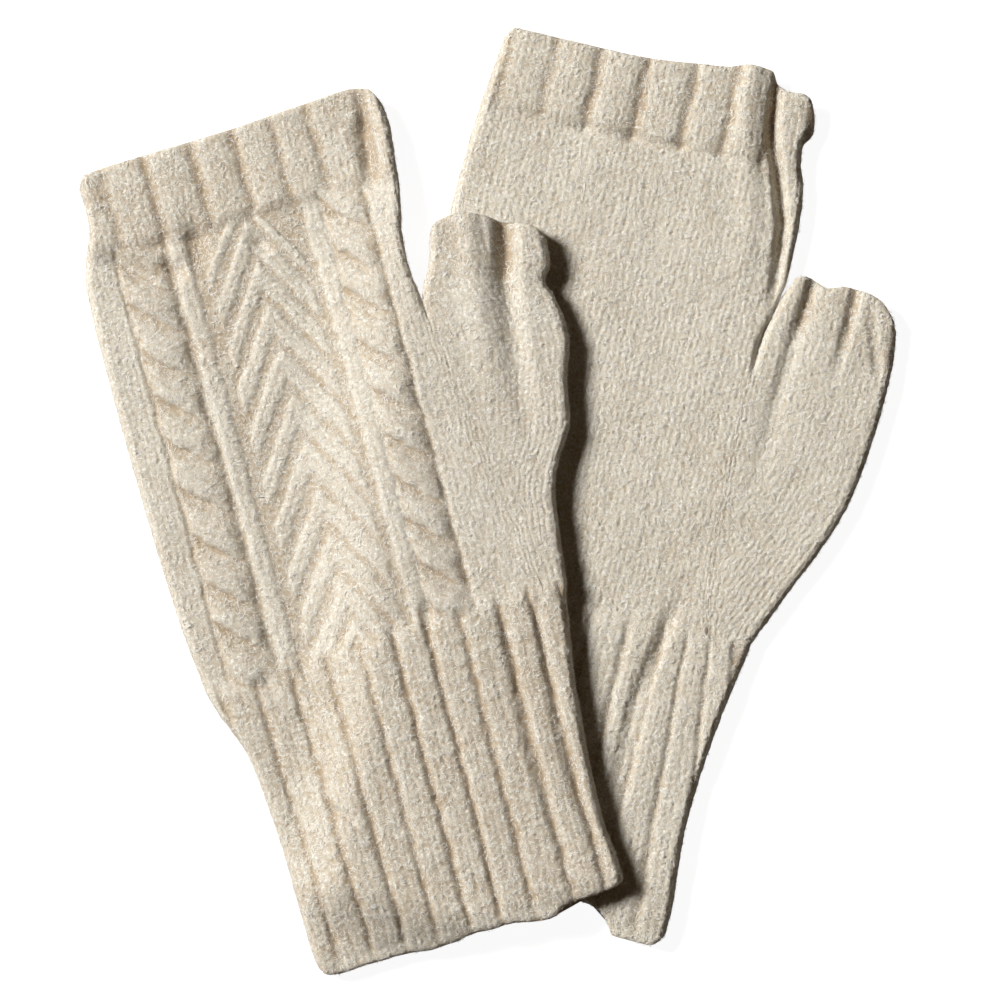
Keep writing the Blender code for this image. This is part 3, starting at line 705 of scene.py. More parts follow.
# The front mitten: back of the hand up, its thumb to the right
FRONT = Mitten(
    name="front",
    x=-70.11,
    y=100.15,
    turn=15.0,
    hand=rows_of(
        Section,
        (0, -42.6, 42.0), (9, -42.5, 42.6), (15, -43.1, 42.1), (20, -44.9, 41.6), (25, -46.4, 41.2),
        (31, -47.8, 40.3), (42, -48.3, 38.1), (50, -48.4, 37.7), (58, -48.4, 38.6),
        (100, -47.8, 43.0), (116, -47.2, 46.0), (131, -46.1, 52.0), (143, -44.7, 56.9),
        (149.4, -43.0, 55.5), (155.5, -40.7, 54.5), (162, -38.6, 53.4), (168, -37.5, 52.3),
        (179, -36.6, 51.2), (190, -35.8, 50.2), (207, -35.6, 49.6), (218, -35.5, 50.6),
        (226.8, -34.7, 50.9),
    ),
    gusset=rows_of(
        GussetPoint,
        (58, 38.6), (76, 40.5), (100, 43.2), (120, 46.5), (144, 50.5),
    ),
    thumb=rows_of(
        ThumbSection,
        (45.6, 37.6, 75.4, 46.6), (43.0, 48.0, 74.6, 56.6), (40.5, 54.0, 72.0, 62.4),
        (39.2, 58.0, 73.6, 67.2), (40.4, 72.0, 74.4, 77.0), (41.9, 88.0, 70.9, 89.0),
        (43.2, 99.0, 68.5, 100.5), (44.5, 108.0, 63.4, 109.0), (46.0, 117.0, 60.1, 117.0),
        (50.0, 140.8, 56.9, 140.4),
    ),
    finger_edge=rows_of(
        Edge,
        (-43, 3.5), (-40, 2.1), (-30, 1.4), (0, 0.5), (20, -0.9), (34, -1.7), (39, -0.6), (43, 3.4),
    ),
    thumb_edge=rows_of(
        Edge,
        (45.5, 3.2), (47.3, 1.2), (50, -0.3), (54, -1.9), (57.5, -1.9), (61, -1.5), (63, -0.4),
        (66, 0.5), (72, 0.6), (75.2, 3.4),
    ),
    hem_edge=rows_of(
        Edge,
        (-35, -1.2), (-32.5, 0.5), (-28.5, 1.0), (-21, 0.4), (-18, 0.6), (-15, 0.3), (-9, 0.5),
        (-5, 1.0), (-2.8, 1.2), (-0.6, 0.7), (3, 0.6), (6, -0.2), (9, -0.6), (13, -0.3), (18, -0.7),
        (24, 0.4), (28, 0.9), (31, 0.8), (32.6, -1.2), (36, -1.8), (47, -2.6), (51, -3.8),
    ),
    knuckle_seam=24.0,
    knuckle_tilt=-0.02,
    wrist_seam=143.6,
    wrist_tilt=-0.06,
    hem=226.8,
    knuckle=Ribbing(
        valleys=rows_of(
            Valley,
            (-36.2, -35.5, 0.5), (-23.8, -23.8, 1.0), (-10.8, -10.6, 1.0), (1.1, 1.3, 1.0),
            (11.9, 12.2, 0.6), (21.6, 22.4, 0.6), (36.5, 35.5, 0.4),
        ),
        knits=3,
        height=KNUCKLE_RIB,
        crest=0.9,
        shade=0.3,
    ),
    wrist=Ribbing(
        valleys=rows_of(
            Valley,
            (-31.2, -28.6, 0.8), (-21.4, -19.3, 1.0), (-11.2, -10.0, 1.1), (-1.3, -1.2, 0.8),
            (7.9, 7.8, 1.1), (17.3, 16.8, 1.2), (26.5, 25.6, 0.9), (37.4, 36.6, 0.9),
            (46.0, 45.4, 0.9),
        ),
        knits=2,
        height=WRIST_RIB,
        crest=0.9,
        squareness=4.6,
        purl_share=0.1,
        shade=0.38,
    ),
    folds=(
        # the thumb's fold, and the swell of its near bank
        Fold(
            (36, 44, 64, 86, 110), (68.0, 65.9, 61.7, 58.8, 56.5), (-1.2, -1.2, -1.1, -0.6, 0),
            5.0, 5.0,
        ),
        Fold((36, 64, 100), (57.0, 53.0, 50.0), (1.3, 1.1, 0), 7.0, 5.0),
        # the dimple beside the right corner of the finger edge
        Fold((6, 11, 19, 27), (34.5, 33.8, 33.3, 32.5), (0, -1.2, -1.2, 0), 3.4, 3.0),
        # the puckers under the knuckle band
        Fold((23, 28, 35), (-29.0, -29.0, -29.0), (0, -0.5, 0), 9.0, 7.0),
        Fold((20, 27, 35), (-15.8, -15.8, -15.8), (0, -0.4, 0), 6.0, 6.0),
        # the two folds that run down the wrist on its thumb side
        Fold((138, 150, 200, 224), (40.0, 37.4, 36.0, 38.2), (0, -0.4, -0.4, -0.2), 3.2, 3.2),
        Fold((136, 148, 196, 224), (50.0, 47.4, 44.4, 47.0), (0, -0.5, -0.5, -0.2), 3.2, 3.2),
    ),
    creases=(
        # the groove beside the thumb, soft below the thumb's band
        Crease(
            (
                (66.4, 37, 2.0), (65.9, 43.5, 2.2), (61.8, 58, 1.8),
                (60.4, 70, 1.0), (58.8, 86, 0.6), (56.5, 105, 0),
            ),
            5.0,
        ),
        # the dimple beside the right corner of the knuckle band
        Crease(((37.2, 2, 0.8), (36.4, 9, 2.6), (35.2, 19, 2.6), (33.5, 27, 0)), 3.6),
        # the pockets and puckers below the knuckle band
        Crease(((-15.5, 18.0, 0.3), (-15.6, 26.5, 1.5), (-16.6, 36.0, 0.3)), 5.0),
        Crease(
            ((-40, 25, 0.7), (-34, 28.6, 1.7), (-28, 32.4, 2.0), (-23.6, 34.0, 1.7), (-21, 34.4, 0.2)),
            4.8,
        ),
        Crease(((-2.4, 27.6, 0.3), (0.5, 32, 2.0), (2.8, 36, 0.2)), 3.6),
        Crease(
            ((-47, 25.6, 0.3), (-20, 25.6, 0.5), (0, 25.2, 0.4), (20, 24.8, 0.3), (40, 24.6, 0.2)),
            4.0,
        ),
        # the pockets where the cuff's ribs begin
        Crease(((18.7, 135, 0.2), (18.3, 140, 1.3), (17.5, 146.5, 0.4)), 2.8),
        Crease(((-28.6, 143, 0.2), (-28.2, 147, 1.2), (-27, 152, 0.2)), 2.4),
        Crease(((-18.4, 142.5, 0.2), (-17.8, 146, 1.1), (-17, 151, 0.2)), 2.2),
        Crease(((-3.4, 141.5, 0.2), (-3.0, 144.6, 1.1), (-2.8, 150, 0.2)), 2.2),
        Crease(((7.4, 140.5, 0.2), (7.7, 144, 0.8), (7.8, 149, 0.2)), 2.4),
        # the two folds that run down the wrist on its thumb side
        Crease(
            (
                (40.2, 140, 0), (37.6, 152, 0.5), (35.6, 180, 0.7),
                (36.2, 200, 0.5), (38.4, 214, 0.4), (40.6, 222, 0),
            ),
            2.6,
        ),
        Crease(
            (
                (49.4, 139, 0), (46.6, 150, 0.5), (44.4, 180, 0.7),
                (45.2, 200, 0.6), (47.2, 215, 0.5), (48.4, 223, 0),
            ),
            2.4,
        ),
        # the pucker half way down the cuff
        Crease(((-21.4, 182.6, 0.4), (-18.5, 185.3, 1.5), (-15.3, 188.6, 0.8)), 1.9),
    ),
    cables=CableBack(
        ropes=(
            Rope(-31.2, 6.5, (27.0, 38.3, 51.3, 63.2, 75.6, 88.6, 102.1, 115.0, 126.9, 142.0)),
            Rope(25.1, 6.0, (24.6, 36.7, 48.6, 63.2, 76.1, 88.6, 101.0, 112.3, 124.2, 136.6)),
        ),
        lines=(-21.1, 16.5),
        chevrons=Chevron(
            -1.5, -15.7, 12.2, 34.0, 30.0,
            (16.8, 29.2, 40.5, 51.8, 64.3, 77.8, 90.2, 103.7, 116.1, 128.5, 140.4),
        ),
        ground_left=-39.2,
        ground_right=32.2,
    ),
    stacked=True,
    under_hem=0.2,
    thumb_rib=Ribbing(
        rows_of(
            Valley,
            (-36, -36, 0.1), (-24.2, -24.2, 0.1), (-10.8, -11.0, 0.7), (1.6, 1.6, 0.2),
        ),
        knits=3,
        height=KNUCKLE_RIB,
        crest=0.4,
    ),
)

# The rear mitten: palm up, its thumb to the right, under the front one
REAR = Mitten(
    name="rear",
    x=46.99,
    y=118.35,
    turn=-13.0,
    hand=rows_of(
        Section,
        (0, -42.7, 43.6), (4.7, -43.2, 44.3), (8, -43.5, 43.8), (13, -44.0, 42.4),
        (18, -44.5, 42.9), (24, -45.1, 44.6), (30, -45.5, 45.7), (40, -46.0, 46.2),
        (50, -46.4, 46.2), (58, -46.6, 45.0), (70, -46.7, 42.8), (104, -45.9, 42.4),
        (131, -43.2, 52.0), (150, -40.2, 58.8), (158, -38.4, 57.6), (168, -36.0, 55.8),
        (178, -34.2, 54.4), (190, -32.9, 53.2), (200, -32.4, 52.8), (212, -32.2, 53.4),
        (225, -32.2, 54.2), (232.5, -31.8, 53.8),
    ),
    gusset=rows_of(
        GussetPoint,
        (70, 42.8), (90, 42.2), (117, 42.6), (136, 44.4), (152, 47.4),
    ),
    thumb=rows_of(
        ThumbSection,
        (47.2, 48.4, 78.0, 50.2), (44.9, 56.6, 78.9, 60.0), (43.5, 64.4, 79.2, 67.6),
        (42.8, 70.0, 79.1, 75.0), (42.4, 88.0, 78.2, 90.0), (42.3, 103.0, 76.2, 104.0),
        (42.6, 117.0, 71.9, 117.4), (43.8, 130.0, 66.2, 130.4), (46.6, 148.1, 58.8, 147.7),
    ),
    finger_edge=rows_of(
        Edge,
        (-43, 1.6), (-40, 0.1), (-10, 0.2), (0, -0.3), (10, -1.6), (17.5, -2.5), (24.3, -4.5),
        (29.7, -4.1), (32.0, -0.9), (35, 0.4), (39, 0), (42, 1.4), (44.2, 4.6),
    ),
    thumb_edge=rows_of(
        Edge,
        (47, 2.6), (48.6, 0.1), (51.3, -0.8), (55.4, 0.2), (57.2, 0.7), (59, 0), (62, -1.2),
        (67.5, -1.3), (71.6, -0.4), (75.6, 2.7), (78.2, 6.0),
    ),
    hem_edge=rows_of(
        Edge,
        (-32, -7.5), (28, -7.5), (34.5, -6.0), (38, -3.0), (40, 0), (50, 0.3), (54, -2.4),
    ),
    knuckle_seam=21.5,
    knuckle_tilt=0.0,
    wrist_seam=150.0,
    wrist_tilt=-0.04,
    hem=232.5,
    knuckle=Ribbing(
        valleys=rows_of(
            Valley,
            (-28.4, -28.4, 0.5), (-16.2, -16.2, 1.0), (-3.2, -3.2, 1.0), (10.0, 10.0, 0.9),
            (20.8, 21.4, 1.0),
        ),
        knits=3,
        height=KNUCKLE_RIB,
        crest=0.9,
    ),
    wrist=Ribbing(
        valleys=rows_of(
            Valley,
            (-31.0, -22.0, 0.8), (-21.5, -13.5, 1.0), (-12.0, -5.0, 1.0), (-3.0, 3.8, 1.0),
            (5.0, 8.6, 1.0), (15.0, 17.0, 0.9), (25.4, 25.4, 0.8), (35.4, 33.6, 0.7),
            (41.5, 45.6, 0.6),
        ),
        knits=2,
        height=WRIST_RIB,
        crest=0.9,
        squareness=4.2,
        purl_share=0.1,
        shade=0.0,
    ),
    folds=(
        # the palm's edge folds in along the side of the fingers, and swells before it does
        Fold(
            (-5, 9, 16, 23, 30, 36, 50, 60),
            (31.8, 32.7, 34.6, 37.5, 40.0, 41.6, 43.2, 43.0),
            (-0.2, -0.9, -1.2, -1.2, -1.2, -1.1, -0.8, 0),
            3.4,
            2.2,
        ),
        Fold((-5, 9, 23, 40, 56), (24.0, 25.5, 29.5, 33.0, 34.0), (1.4, 1.2, 0.9, 0.6, 0), 7.0, 5.0),
        # the fold at the foot of the thumb, and the weaker one beside it
        Fold(
            (46, 54, 66, 90, 118), (54.0, 53.2, 51.8, 50.4, 50.0), (-0.6, -0.6, -0.6, -0.4, 0),
            3.4, 6.0,
        ),
        Fold((46, 54, 67, 76), (65.4, 65.0, 64.6, 64.4), (-0.3, -0.3, -0.2, 0), 2.6, 2.6),
        # the crease that runs from the palm into the wrist
        Fold((140, 152, 172, 200), (36.5, 34.6, 32.4, 34.5), (0, -0.5, -0.6, 0), 3.6, 3.6),
    ),
    creases=(
        # the palm's edge folds in along the side of the fingers
        Crease(
            (
                (31.6, -5, 0.6), (31.8, 0, 1.4), (32.7, 9.2, 2.6), (34.6, 15.9, 2.8), (37.5, 22.7, 2.8),
                (40, 30.8, 2.8), (41.9, 36.2, 2.4), (43.2, 49.7, 1.4), (44, 58, 0.2),
            ),
            2.7,
        ),
        # the groove at the foot of the thumb, the weaker one beside it, and the notch at its end
        Crease(
            (
                (53.8, 47, 0.7), (52.9, 53.4, 0.9), (51.5, 64, 0.8),
                (50.9, 74, 0.5), (50.4, 88, 0.3), (50, 104, 0),
            ),
            3.2,
        ),
        Crease(((65.2, 49, 0.3), (64.9, 55, 0.6), (64.7, 67, 0.5), (64.5, 75, 0)), 2.6),
        Crease(((70.0, 51, 0.2), (71.6, 58, 0.6), (74.6, 66, 0.8), (76, 71, 0.1)), 2.4),
        # the pockets where the knuckle band ends
        Crease(((-20, 22, 0.3), (-16.2, 22.4, 1.4), (-12.0, 22.2, 0.4)), 2.8),
        Crease(((-7.5, 22, 0.3), (-3.4, 21.9, 1.5), (1, 21.6, 0.5)), 2.8),
        Crease(((7.0, 21, 0.3), (10.8, 21.0, 1.3), (14, 20.6, 0.3)), 2.4),
        Crease(((-45, 22.6, 0.3), (-20, 22.6, 0.6), (20, 21.6, 0.6), (34, 21, 0.2)), 2.8),
        # the crease that runs from the palm into the wrist
        Crease(
            ((37.2, 139, 0.2), (35.9, 146, 0.7), (31.6, 171, 0.8), (31.9, 209, 0.5), (32, 222, 0)),
            3.4,
        ),
    ),
    cables=None,
    stacked=False,
    under_hem=0.0,
    thumb_rib=Ribbing(
        rows_of(
            Valley,
            (-37.6, -37.6, 0.3), (-25.6, -26.6, 0.6), (-13.6, -14.0, 0.6), (-1.0, -1.0, 0.3),
        ),
        knits=3,
        height=KNUCKLE_RIB,
        crest=0.4,
    ),
)


# --- walls of cloth ------------------------------------------------------------------------------


@dataclass(frozen=True)
class Courses:
    """The courses that a piece is cut through, one row of points to each.

    `at` turns places across, one row to a course, into places down. `rim` is how far each course
    lies from a free edge, measured over the cloth, and `lift` how much higher up the upper layer's
    course lies than the lower one's.
    """

    left: Array
    right: Array
    turn_left: Array
    turn_right: Array
    at: Callable[[Array], Array]
    rim: Array
    lift: Array


class Wall(NamedTuple):
    """A wall's outer and inner points, and the painted shading of its outer ones, rows by columns."""

    outer: Array
    inner: Array
    height: Array


Knitting = Callable[[Array, Array, Array], Relief]


@dataclass(frozen=True)
class Layer:
    """One layer of a piece, from its left to its right end."""

    mitten: Mitten
    side: Side
    cells: int
    WIDEST_BEND = 0.42  # of a narrow layer's width
    NET_APART = 90.0  # reads another part of the tufts' net
    WANDER_MESH = 2.6
    TUFT_MESHES = (0.95, 2.3)
    BROAD_TUFTS = 0.8  # how high the broad ones are against the fine ones
    TUFTS_APART = 40.0
    TALLEST = 1.25  # of a stitch, so that the layer underneath stays above the table
    MIDDLE_HEIGHT = 0.30  # the painted shading's value between the stitches
    # stitch crests painted paler, as painted highlight
    STITCH_SHARE = 0.45
    PAINTED_SHADE_SHARE = 0.55
    # creases painted darker, as painted shade
    PRESSED_SHARE = 0.15

    def wall(self, courses: Courses, knitting: Knitting) -> Wall:
        """Lays the layer out through its courses.

        Args:
            courses: the courses of the piece.
            knitting: gives the relief from across, the same over the cloth, and down.

        Returns:
            The layer's points, in millimetres.
        """
        left, right = courses.left[:, None], courses.right[:, None]
        bend = np.minimum(SIDE_FOLD, self.WIDEST_BEND * (right - left))
        angle = np.linspace(0.0, pi / 2, FOLD_CELLS + 1)[:-1][None]
        back = angle[:, ::-1]
        level = left + bend + (right - left - 2 * bend) * np.linspace(0.0, 1.0, self.cells)[None]
        across = np.hstack([left + bend * (1 - np.cos(angle)), level, right - bend * (1 - np.cos(back))])
        arc = FOLD_ARC * bend / SIDE_FOLD
        over_left, over_right = arc * (pi / 2 - angle), arc * (pi / 2 - back)
        wide = np.hstack([left + bend - over_left, level, right - bend + over_right])
        turn_left, turn_right = courses.turn_left[:, None], courses.turn_right[:, None]
        flat = np.zeros_like(level)
        lean = np.hstack([-turn_left * np.cos(angle), flat, turn_right * np.cos(back)])
        rise = 1 - np.hstack([turn_left * (1 - np.sin(angle)), flat, turn_right * (1 - np.sin(back))])
        upper = self.side is Side.UPPER
        down = courses.at(across) - (courses.lift[:, None] * rise if upper else 0.0)
        if not upper:
            wide = 2 * (right - bend + arc * pi / 2) - wide
        relief = self._knitted(across, wide, down, knitting)
        past_rim = np.clip(courses.rim[:, None] / RIM, 0, 1)
        roll = WALL / 2 * (1 - np.sqrt(np.clip(1 - (1 - past_rim) ** 2, 0, 1)))
        half = self.mitten.thickness(across, down) / 2
        pressed = (self.mitten.creased(across, down) if upper else np.zeros_like(down)) * rise
        highest = STITCH_MEAN if upper else STITCH * self.TALLEST
        proud = relief.stitch - STITCH_MEAN * np.abs(lean) - highest * rise - roll
        form = relief.form * rise * (1 if upper else 0)
        x, y = self.mitten.place(across + lean * proud, down)
        base = self.mitten.base(x, y)
        room = 2 * half - 2 * WALL - AIR
        floor = -WALL + roll - np.minimum(pressed, room) + THINNEST * (1.0 - 2 * roll / WALL)
        thick = half + np.maximum(form + proud - pressed, floor)
        outer = base + half + self.side.value * thick * rise
        inner_across = across - lean * (WALL - roll)
        inner_x, inner_y = self.mitten.place(inner_across, courses.at(inner_across))
        inner = half - WALL + roll - np.minimum(pressed, room)
        inner = self.mitten.base(inner_x, inner_y) + half + self.side.value * inner * rise
        # The colour's painted shading: paler on stitch crests, darker in valleys, grooves and creases
        height = self.MIDDLE_HEIGHT + self.STITCH_SHARE * relief.stitch / STITCH
        height = height - self.PAINTED_SHADE_SHARE * relief.painted_shade * rise
        height = height - self.PRESSED_SHARE * np.maximum(pressed, 0)
        return Wall(np.dstack([x, y, outer]), np.dstack([inner_x, inner_y, inner]), height)

    def _knitted(self, across: Array, wide: Array, down: Array, knitting: Knitting) -> Relief:
        """The knitting's relief, its stitches a little astray and tufted."""
        astray = WANDER * TUFTS.at(wide + self.NET_APART, down, self.WANDER_MESH)
        lower = WANDER * TUFTS.at(wide, down + self.NET_APART, self.WANDER_MESH)
        relief = knitting(across + astray, wide + astray, down + lower)
        fine, broad = self.TUFT_MESHES
        tufts = TUFTS.at(wide, down, fine)
        tufts = tufts + self.BROAD_TUFTS * TUFTS.at(wide + self.TUFTS_APART, down, broad)
        return relief._replace(stitch=relief.stitch + TUFT * tufts)


def around(upper: Wall, lower: Wall, joined_left: Array) -> Wall:
    """A tube's wall: over the top from left to right, then back underneath.

    Args:
        upper: the layer that faces up.
        lower: the layer underneath.
        joined_left: True for each course whose left ends meet.

    Returns:
        The wall of the whole tube.
    """
    both = [np.concatenate([a, b[:, ::-1][:, 1:]], axis=1) for a, b in zip(upper, lower, strict=True)]
    for points in both:
        points[joined_left, -1] = points[joined_left, 0]
    return Wall(*both)


class Shell:
    """Makes one closed wall of cloth out of two grids, a fine outer one and a coarse inner one."""

    OPEN_GAP = 0.2  # the share of a turn that a flat layer leaves open, rolled up for its inside

    def __init__(self, name: str, wall: Wall) -> None:
        """Keeps the wall's points, whose rows and columns are whole steps of COARSE."""
        self.name = name
        self.wall = wall

    def build(self, joined_rows: int) -> bpy.types.Object:
        """Builds the shell.

        Args:
            joined_rows: how many rows of cells from the top have their two side ends joined.

        Returns:
            The new object, linked to the scene.
        """
        outer, inner = self.wall.outer, self.wall.inner[::COARSE, ::COARSE]
        bm = bmesh.new()
        # each outer point's painted shading, which picks its colour
        height = bm.verts.layers.float.new("height")
        final = bm.verts.layers.float_vector.new("final")
        for points, spread in zip((outer, inner), self._spread(joined_rows), strict=True):
            rows, columns = points.shape[:2]
            made = bmesh.ops.create_grid(bm, x_segments=columns - 1, y_segments=rows - 1, size=1.0)
            raised = self.wall.height.ravel() if points is outer else np.zeros(rows * columns)
            rolled = spread.reshape(-1, 3)
            places = points.reshape(-1, 3) * MM
            for k, vert in enumerate(made["verts"]):
                vert.co = rolled[k]
                vert[final] = Vector(places[k])
                vert[height] = raised[k]
        if joined_rows:
            self._join(bm, joined_rows)
        loops = [edge for edge in bm.edges if edge.is_boundary]
        for edge in loops:
            edge.smooth = False
        for pair in self._pairs(loops):
            bmesh.ops.bridge_loops(bm, edges=pair)
        for vert in bm.verts:
            vert.co = vert[final]
        bm.verts.layers.float_vector.remove(final)
        bmesh.ops.recalc_face_normals(bm, faces=bm.faces)
        if bm.calc_volume(signed=True) < 0:
            bmesh.ops.reverse_faces(bm, faces=bm.faces)
        for face in bm.faces:
            face.smooth = True
        name = f"{self.name}_knit"
        return linked(name, meshed(name, bm))

    def _spread(self, joined_rows: int) -> tuple[Array, Array]:
        """Places for the two grids while they are joined, where facing borders are easy to tell apart.

        A tube is rolled out as a round one, open along a slot where its ends stay apart, and its
        inner wall sticks out at both ends. A flat layer is joined where it lies.

        Args:
            joined_rows: how many rows of cells from the top have their two side ends joined.

        Returns:
            The outer and the inner grid's places.
        """
        outer = self.wall.outer
        if not joined_rows:
            return outer * MM, self.wall.inner[::COARSE, ::COARSE] * MM
        rows, columns = outer.shape[:2]
        row, column = np.arange(rows)[:, None], np.arange(columns)[None]
        gap = self.OPEN_GAP * np.clip((row - joined_rows) / COARSE, 0.0, 1.0)
        turn = pi * gap + 2 * pi * (1 - gap) * column / (columns - 1)
        radius = columns * CELL / (2 * pi)
        grids = []
        for inset, stretch in ((0.0, 0.0), (WALL, 2 * WALL)):
            along = row * CELL * (1 + 2 * stretch / (rows * CELL)) - stretch
            across = (radius - inset) * np.cos(turn), (radius - inset) * np.sin(turn)
            grids.append(np.dstack([*across, along + 0 * column]))
        return grids[0], grids[1][::COARSE, ::COARSE]

    def _join(self, bm: bmesh.types.BMesh, joined_rows: int) -> None:
        """Welds the two side ends of both grids, down to a row."""
        verts = list(bm.verts)
        start, targets = 0, {}
        for rows_joined, step in ((joined_rows, 1), (joined_rows // COARSE, COARSE)):
            rows, columns = self.wall.outer[::step, ::step].shape[:2]
            for row in range(min(rows_joined + 1, rows)):
                targets[verts[start + row * columns + columns - 1]] = verts[start + row * columns]
            start += rows * columns
        bmesh.ops.weld_verts(bm, targetmap=targets)

    @staticmethod
    def _pairs(edges: list[bmesh.types.BMEdge]) -> list[list[bmesh.types.BMEdge]]:
        """Groups border edges into pairs of facing loops, an outer and an inner one.

        Args:
            edges: the border edges of the outer and the inner grid.

        Returns:
            The edges of each pair of loops.
        """
        left = set(edges)
        loops: list[list[bmesh.types.BMEdge]] = []
        for edge in edges:
            if edge not in left:
                continue
            left.discard(edge)
            loop, ends = [edge], list(edge.verts)
            while ends:
                for other in ends.pop().link_edges:
                    if other in left:
                        left.discard(other)
                        loop.append(other)
                        ends.extend(other.verts)
            loops.append(loop)
        loops.sort(key=len, reverse=True)
        half = len(loops) // 2
        outer, inner = loops[:half], loops[half:]

        def centre(loop: list[bmesh.types.BMEdge]) -> Vector:
            """The middle of a loop's points."""
            return sum((edge.verts[0].co for edge in loop), Vector()) / len(loop)

        centres = [centre(loop) for loop in inner]
        pairs = []
        for loop in outer:
            middle = centre(loop)
            nearest = min(range(half), key=lambda k: (centres[k] - middle).length)
            pairs.append(loop + inner[nearest])
        return pairs


def whole_cells(length: float, cell: float = CELL) -> int:
    """How many cells a length takes, a whole step of COARSE."""
    return max(1, round(length / cell / COARSE)) * COARSE


@dataclass(frozen=True)
class Piece:
    """One knitted piece: a closed wall of cloth that stands for one CAD node.

    `flat` is the width and length that it was knitted to, in metres, all round where it is a tube.
    """

    mitten: Mitten
    part: str
    flat: tuple[float, float]

    @property
    def node(self) -> str:
        """The CAD node that the piece stands for."""
        return f"{self.mitten.name}_{self.part}"

    def build(self) -> bpy.types.Object:
        """Builds the piece's mesh."""
        raise NotImplementedError

    def tube(
        self,
        courses: Courses,
        cells: tuple[float, float],
        knitting: tuple[Knitting, Knitting],
        joined_rows: int,
    ) -> bpy.types.Object:
        """Builds a tube out of its two layers.

        Args:
            courses: the courses of the piece.
            cells: how many cells wide the two layers are, as near as can be.
            knitting: the knitting of the layer that faces up, and of the one underneath.
            joined_rows: how many rows of cells from the top are joined on the left.

        Returns:
            The new object, linked to the scene.
        """
        upper_cells, lower_cells = (round(c) for c in cells)
        lower_cells += COARSE - (4 * FOLD_CELLS + upper_cells + lower_cells - 2) % COARSE
        over = Layer(self.mitten, Side.UPPER, upper_cells).wall(courses, knitting[0])
        under = Layer(self.mitten, Side.LOWER, lower_cells).wall(courses, knitting[1])
        joined = np.arange(len(courses.left)) <= joined_rows
        return Shell(self.node, around(over, under, joined)).build(joined_rows)

    def dress(self, piece: bpy.types.Object, wool: bpy.types.Material, rests_on: list[str]) -> None:
        """Gives the piece its wool, hangs it from the root body and hides the CAD node it stands for.

        Args:
            piece: the built piece.
            wool: its finish.
            rests_on: the nodes or pieces that it lies on. Not used.
        """
        piece.data.materials.append(wool)
        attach(piece, "root")
        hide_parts(self.node)
        log.info("%s: %d faces", piece.name, len(piece.data.polygons))


@dataclass(frozen=True)
class Band(Piece):
    """A ribbed tube round the fingers or the wrist."""

    at_wrist: bool = False
    UNDER_CELLS = 4.5  # the cells underneath are so much wider
    HEM_REACH = 24.0  # how far up the hem's uneven edge is felt
    LIFT_REACH = 20.0

    def build(self) -> bpy.types.Object:
        """Builds the tube through its courses, its free edge rounded over.

        Returns:
            The new piece.
        """
        m = self.mitten
        first, last = (m.wrist_seam, m.hem) if self.at_wrist else (0.0, m.knuckle_seam)
        steps = whole_cells(last - first)
        downs = rim_spaced(first, last, steps, at_end=self.at_wrist)
        free = last - downs if self.at_wrist else downs
        edge = np.zeros_like(downs) if self.at_wrist else 1.0 - downs / m.knuckle_seam
        hem = ease((downs - m.hem + self.HEM_REACH) / self.HEM_REACH) * self.at_wrist
        tilt = m.tilt(downs)[:, None]

        def at(across: Array) -> Array:
            """The course's place down, at places across."""
            place = downs[:, None] + tilt * across
            place = place + edge[:, None] * (read(m.finger_edge, across, "drop", "across") + RECESS)
            return place + hem[:, None] * read(m.hem_edge, across, "drop", "across")

        whole = np.ones_like(downs)
        lift = RECESS * edge
        lift = lift + m.under_hem * ease((downs - m.hem + self.LIFT_REACH) / self.LIFT_REACH)
        left, right = read(m.hand, downs, "left"), read(m.hand, downs, "right")
        courses = Courses(left, right, whole, whole, at, free, lift)
        width = float(np.mean(right - left)) - 2 * SIDE_FOLD
        cells = width / CELL, width / (self.UNDER_CELLS * CELL)
        return self.tube(courses, cells, (m.relief, plain_knitting), steps)


ROUNDING = (0.0, 0.03, 0.12, 0.28, 0.52, 0.8)  # the courses that round a free edge, against RIM
PAST_ROUNDING = 1.1


def rim_spaced(first: float, last: float, steps: int, at_end: bool | None) -> Array:
    """Courses from first to last, packed closely where the cloth rounds over at a free edge.

    Args:
        first: the first course.
        last: the last course.
        steps: how many steps to take.
        at_end: True for a free edge at the end, False at the start, None for neither.

    Returns:
        The courses' places.
    """
    if at_end is None:
        return np.linspace(first, last, steps + 1)
    near = RIM * np.array(ROUNDING)
    rest = np.linspace(PAST_ROUNDING * RIM, last - first, steps + 1 - len(near))
    spaced = np.concatenate([near, rest])
    return last - spaced[::-1] if at_end else first + spaced


